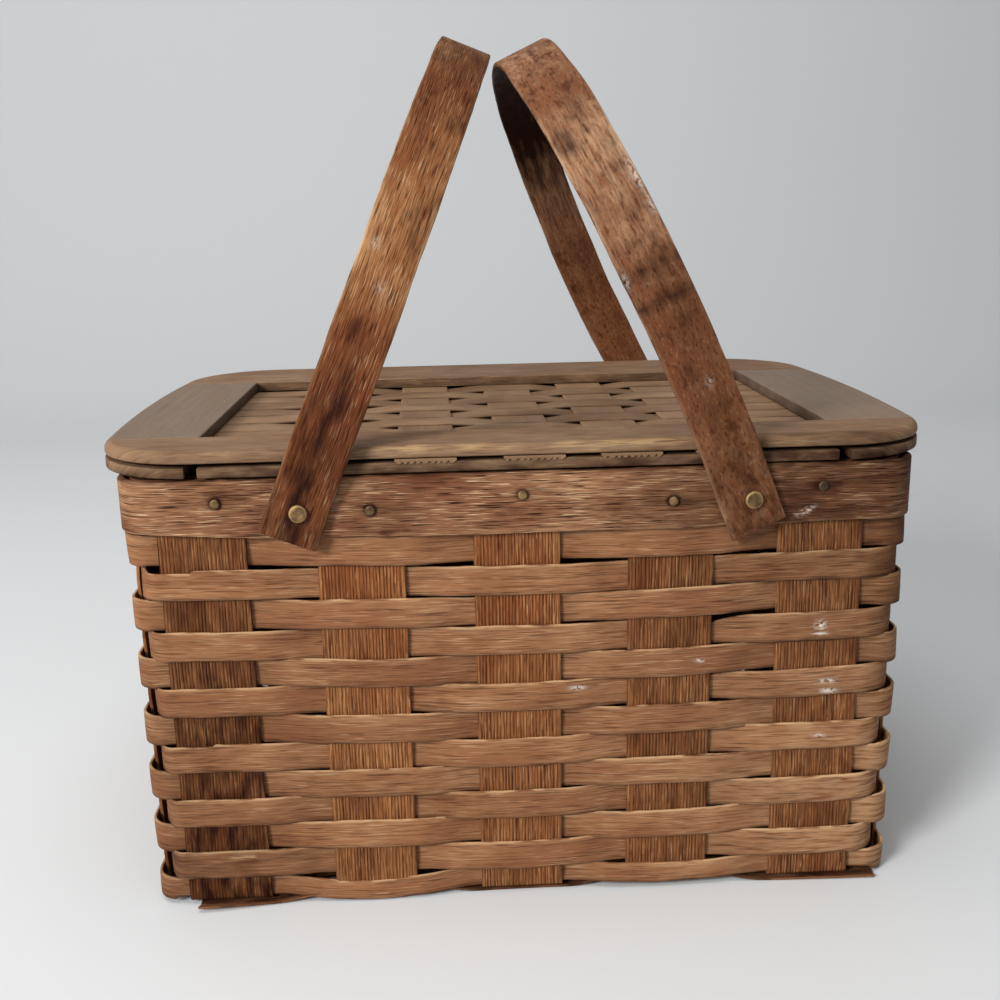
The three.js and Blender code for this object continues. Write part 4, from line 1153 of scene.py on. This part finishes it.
# Lid panel: ridged crosswise splints, whose ends show under the front rail, and smooth lengthwise splints
PANEL_LEVEL = middle("lid_cross_splint_1")[2]
PANEL_STEP = 1.03 * MM
PANEL_CLAMP = 144.95 * MM
CROSS_SPLINT_WIDTH = high("lid_cross_splint_1")[0] - low("lid_cross_splint_1")[0]
CROSS_SPLINT_THICKNESS = 1.2 * MM
CROSS_SPLINT_RIDGES = 9
CROSS_RIDGE_DEPTH = 0.6 * MM
# How far some crosswise splints have slid at their front and back ends, by their place in the row
CROSS_SPLINT_SHIFTS = {1: (3.9 * MM, -0.4 * MM), 2: (6.5 * MM, 3.2 * MM), 3: (3.6 * MM, 3.0 * MM)}
LONG_SPLINT_THICKNESS = 0.8 * MM
LONG_SPLINT_EDGE = (20 * MM, 0.22 * MM)
# The crosswise splints' front ends are frayed into lobes
FRAY = 0.6 * MM
LOBE_BASE, LOBE_HEIGHT = 0.55 * MM, 1.2 * MM


# The middle of a crosswise splint at a place from front to back
def splint_x(index, y):
    front, back = CROSS_SPLINT_SHIFTS.get(index, (0.0, 0.0))
    share = unit((y + LID_Y) / (2 * LID_Y))
    return middle(CROSS_SPLINTS[index])[0] + front + (back - front) * share


def cross_splint(node, index):
    seed = 520 + index
    along = np.concatenate([
        [-LID_Y - FRAY, -LID_Y - 0.02 * MM], np.linspace(-LID_Y + FRAY, high(node)[1], 420)])
    line = np.stack([splint_x(index, along), along, 0 * along + PANEL_LEVEL], 1)
    across, out, near, lines = ridged_section(
        seed, CROSS_SPLINT_WIDTH, CROSS_SPLINT_THICKNESS, CROSS_SPLINT_RIDGES, CROSS_RIDGE_DEPTH)
    frayed = unit((-LID_Y + FRAY - along) / FRAY)
    lobes = out.copy()
    spots = CROSS_SPLINT_RIDGES * len(RIDGE_POINTS)
    lobes[:spots] = LOBE_BASE + LOBE_HEIGHT * np.sin(np.pi * np.tile(RIDGE_POINTS, CROSS_SPLINT_RIDGES))
    out = out + frayed[:, None] * (lobes - out)
    # Painted shadow just behind each lengthwise splint that passes over this one
    shade = np.zeros(len(along))
    for row, over in enumerate(LONG_SPLINTS):
        if passing(index, row) > 0:
            shade = np.maximum(shade, bump(along, high(over)[1] + 1.4 * MM, 2.6 * MM))
    lens = np.sqrt(unit(1 - (across / (CROSS_SPLINT_WIDTH / 2)) ** 2))
    marks = {"wear_and_highlight": near * 0.3, "dirt_and_shade": unit(0.5 * lines + 1.2 * shade[:, None] * lens)}
    strip(f"{node}_strip", line, X_WAY, -Z_WAY, along, across, out, seed, marks,
          SMOOTH_WOOD, "lid", "panel_splint", [node])


def long_splint(node, row):
    seed = 540 + row
    reach = high(node)[0]
    along = np.linspace(-reach, reach, 300)
    numbers = range(len(CROSS_SPLINTS))
    middles = np.array([splint_x(index, middle(node)[1]) for index in numbers])
    places, levels = crossing_steps((-PANEL_CLAMP, 0.0), middles, CROSS_SPLINT_WIDTH / 2 + 1.2 * MM,
                                    passing(numbers, row) * PANEL_STEP, (PANEL_CLAMP, 0.0))
    places = [-reach - 1 * MM, *places, reach + 1 * MM]
    levels = [0.0, *levels, 0.0]
    rise = 0.35 * ease(along, places, levels) + 0.65 * np.interp(along, places, levels)
    line = np.stack([along, 0 * along + middle(node)[1], PANEL_LEVEL + rise], 1)
    width = high(node)[1] - low(node)[1]
    across, out, near = strip_section(width, LONG_SPLINT_THICKNESS, 0.35 * MM, 9, 5)
    top_edge = wander(seed + 20, along, *LONG_SPLINT_EDGE)
    bottom_edge = wander(seed + 40, along, *LONG_SPLINT_EDGE)
    grown, upper, _ = edged(across, width, top_edge, bottom_edge)
    lifted = unit(rise / PANEL_STEP)[:, None]
    out = out - 0.3 * MM * lifted * (across / (width / 2)) ** 2
    # Painted shade where the splint dips under, and along its edges, darkest at the last row's back edge
    # under the back rail
    edge_shade = near * np.where((upper > 0) & (row == len(LONG_SPLINTS) - 1), 1.0, 0.65)
    marks = {"dirt_and_shade": unit(0.12 * (1 - lifted) + edge_shade)}
    strip(f"{node}_strip", line, Y_WAY, Z_WAY, along, grown, out, seed, marks,
          PANEL_WOOD, "lid", "panel_splint", [node])


for number, node in enumerate(CROSS_SPLINTS):
    cross_splint(node, number)
for number, node in enumerate(LONG_SPLINTS):
    long_splint(node, number)

# Hinges: each leaf is a bent brass plate that curls round the pin
hinge_y, hinge_z = joints["lid_hinge"]["pos_m"][1:]
HINGE_PLATE = 1.1 * MM
HINGE_CURL = 1.7 * MM
HINGE_STANDOFF = 0.9 * MM
RIM_KNUCKLE = 13.85 * MM


def hinge_leaf(node, seed, body, face_y):
    first_x, last_x = low(node)[0], high(node)[0]
    if body == "basket":
        first_x = last_x - RIM_KNUCKLE
    turn = np.radians(np.linspace(180, -120, 26))
    path = [(face_y + HINGE_STANDOFF, z) for z in np.linspace(low(node)[2], hinge_z - 0.3 * MM, 10)]
    path += [(hinge_y + HINGE_CURL * math.cos(a), hinge_z + HINGE_CURL * math.sin(a)) for a in turn]
    path = np.array(path)
    along, ahead = follow(path)
    line = np.column_stack([0 * along + (first_x + last_x) / 2, path])
    out_way = np.stack([0 * along, -ahead[:, 1], ahead[:, 0]], 1)
    across, out, near = strip_section(last_x - first_x, HINGE_PLATE, 0.3 * MM, 8, 8)
    marks = {"wear_and_highlight": near * 0.4, "dirt_and_shade": 0.15}
    strip(f"{node}_plate", line, X_WAY, out_way, along, across, out, seed, marks,
          BRASS, body, "brass", [node])


for side_name in SIDES:
    hinge_leaf(f"hinge_{side_name}_rim_leaf", 600, "basket", RIM_OUTER_Y)
    hinge_leaf(f"hinge_{side_name}_lid_leaf", 602, "lid", LID_Y)

# Floor and backdrop in one sweep
FLOOR_FRONT, FLOOR_HALF = -5.0, 6.0
BACKDROP_START, BACKDROP_RADIUS, BACKDROP_TOP = 1.3, 0.9, 5.0
sweep = [(FLOOR_FRONT, 0.0), (0.0, 0.0)]
sweep += arc((BACKDROP_START, BACKDROP_RADIUS), BACKDROP_RADIUS, -90, 0, 25).tolist()
sweep.append((BACKDROP_START + BACKDROP_RADIUS, BACKDROP_TOP))
floor_corners = [(side * FLOOR_HALF, y, z) for y, z in sweep for side in (-1, 1)]
floor_faces = [(2 * spot, 2 * spot + 1, 2 * spot + 3, 2 * spot + 2) for spot in range(len(sweep) - 1)]
floor_mesh = bpy.data.meshes.new("floor")
floor_mesh.from_pydata(floor_corners, [], floor_faces)
floor_mesh.shade_smooth()
floor_material, floor_tree = new_material("pale_floor")
finish_material(floor_tree, **{
    "Base Color": srgb(220, 223, 226), "Roughness": 0.8, "Specular IOR Level": 0.1})
floor_mesh.materials.append(floor_material)
floor = bpy.data.objects.new("floor", floor_mesh)
bpy.context.collection.objects.link(floor)

# Soft light all round, and a pale grey where the camera looks past the backdrop
world = bpy.data.worlds.new("studio")
bpy.context.scene.world = world
world.use_nodes = True
sky = world.node_tree
sky.nodes.clear()
paths = sky.nodes.new("ShaderNodeLightPath")
seen = sums(sky, "MAXIMUM", paths.outputs["Is Camera Ray"], paths.outputs["Is Transmission Ray"])
seen = sums(sky, "MAXIMUM", seen, paths.outputs["Is Glossy Ray"])
around = add(sky, "ShaderNodeBackground", {"Color": (1.0, 0.985, 0.965, 1.0), "Strength": 0.16})
behind = add(sky, "ShaderNodeBackground", {"Color": srgb(212, 213, 213), "Strength": 1.0})
shown = add(sky, "ShaderNodeMixShader", {0: seen, 1: around, 2: behind})
add(sky, "ShaderNodeOutputWorld", {"Surface": shown})


def soft_light(name, place, target, size, power, colour):
    lamp = bpy.data.lights.new(name, "AREA")
    lamp.shape = "DISK"
    lamp.size = size
    lamp.energy = power
    lamp.color = colour
    made = bpy.data.objects.new(name, lamp)
    bpy.context.collection.objects.link(made)
    made.location = place
    made.rotation_euler = (Vector(target) - Vector(place)).to_track_quat("-Z", "Y").to_euler()


LIT_SPOT = (0, 0, 0.2)
soft_light("key_light", (-1.75, -1.95, 1.4), LIT_SPOT, size=0.9, power=78, colour=(1.0, 0.98, 0.95))
soft_light("top_light", (-0.3, -0.5, 2.6), LIT_SPOT, size=2.4, power=34, colour=(1.0, 0.99, 0.97))

# The camera's place, and its turns about the axes in degrees
CAMERA_PLACE = (-0.03726, -0.71982, 0.36769)
CAMERA_TURNS = (("Y", 1.82), ("X", -14.07), ("Z", -2.98))
camera_data = bpy.data.cameras.new("camera")
camera_data.sensor_width = 36.0
camera_data.lens = 41.687
camera = bpy.data.objects.new("camera", camera_data)
bpy.context.collection.objects.link(camera)
turn = Matrix.Identity(3)
for axis, degrees in CAMERA_TURNS:
    turn = turn @ Matrix.Rotation(math.radians(degrees), 3, axis)
right, ahead, upward = turn.col[0], turn.col[1], turn.col[2]
facing = Matrix((right, upward, -ahead)).transposed().to_4x4()
camera.matrix_world = Matrix.Translation(CAMERA_PLACE) @ facing
bpy.context.scene.camera = camera
bpy.context.scene.view_settings.view_transform = "Standard"
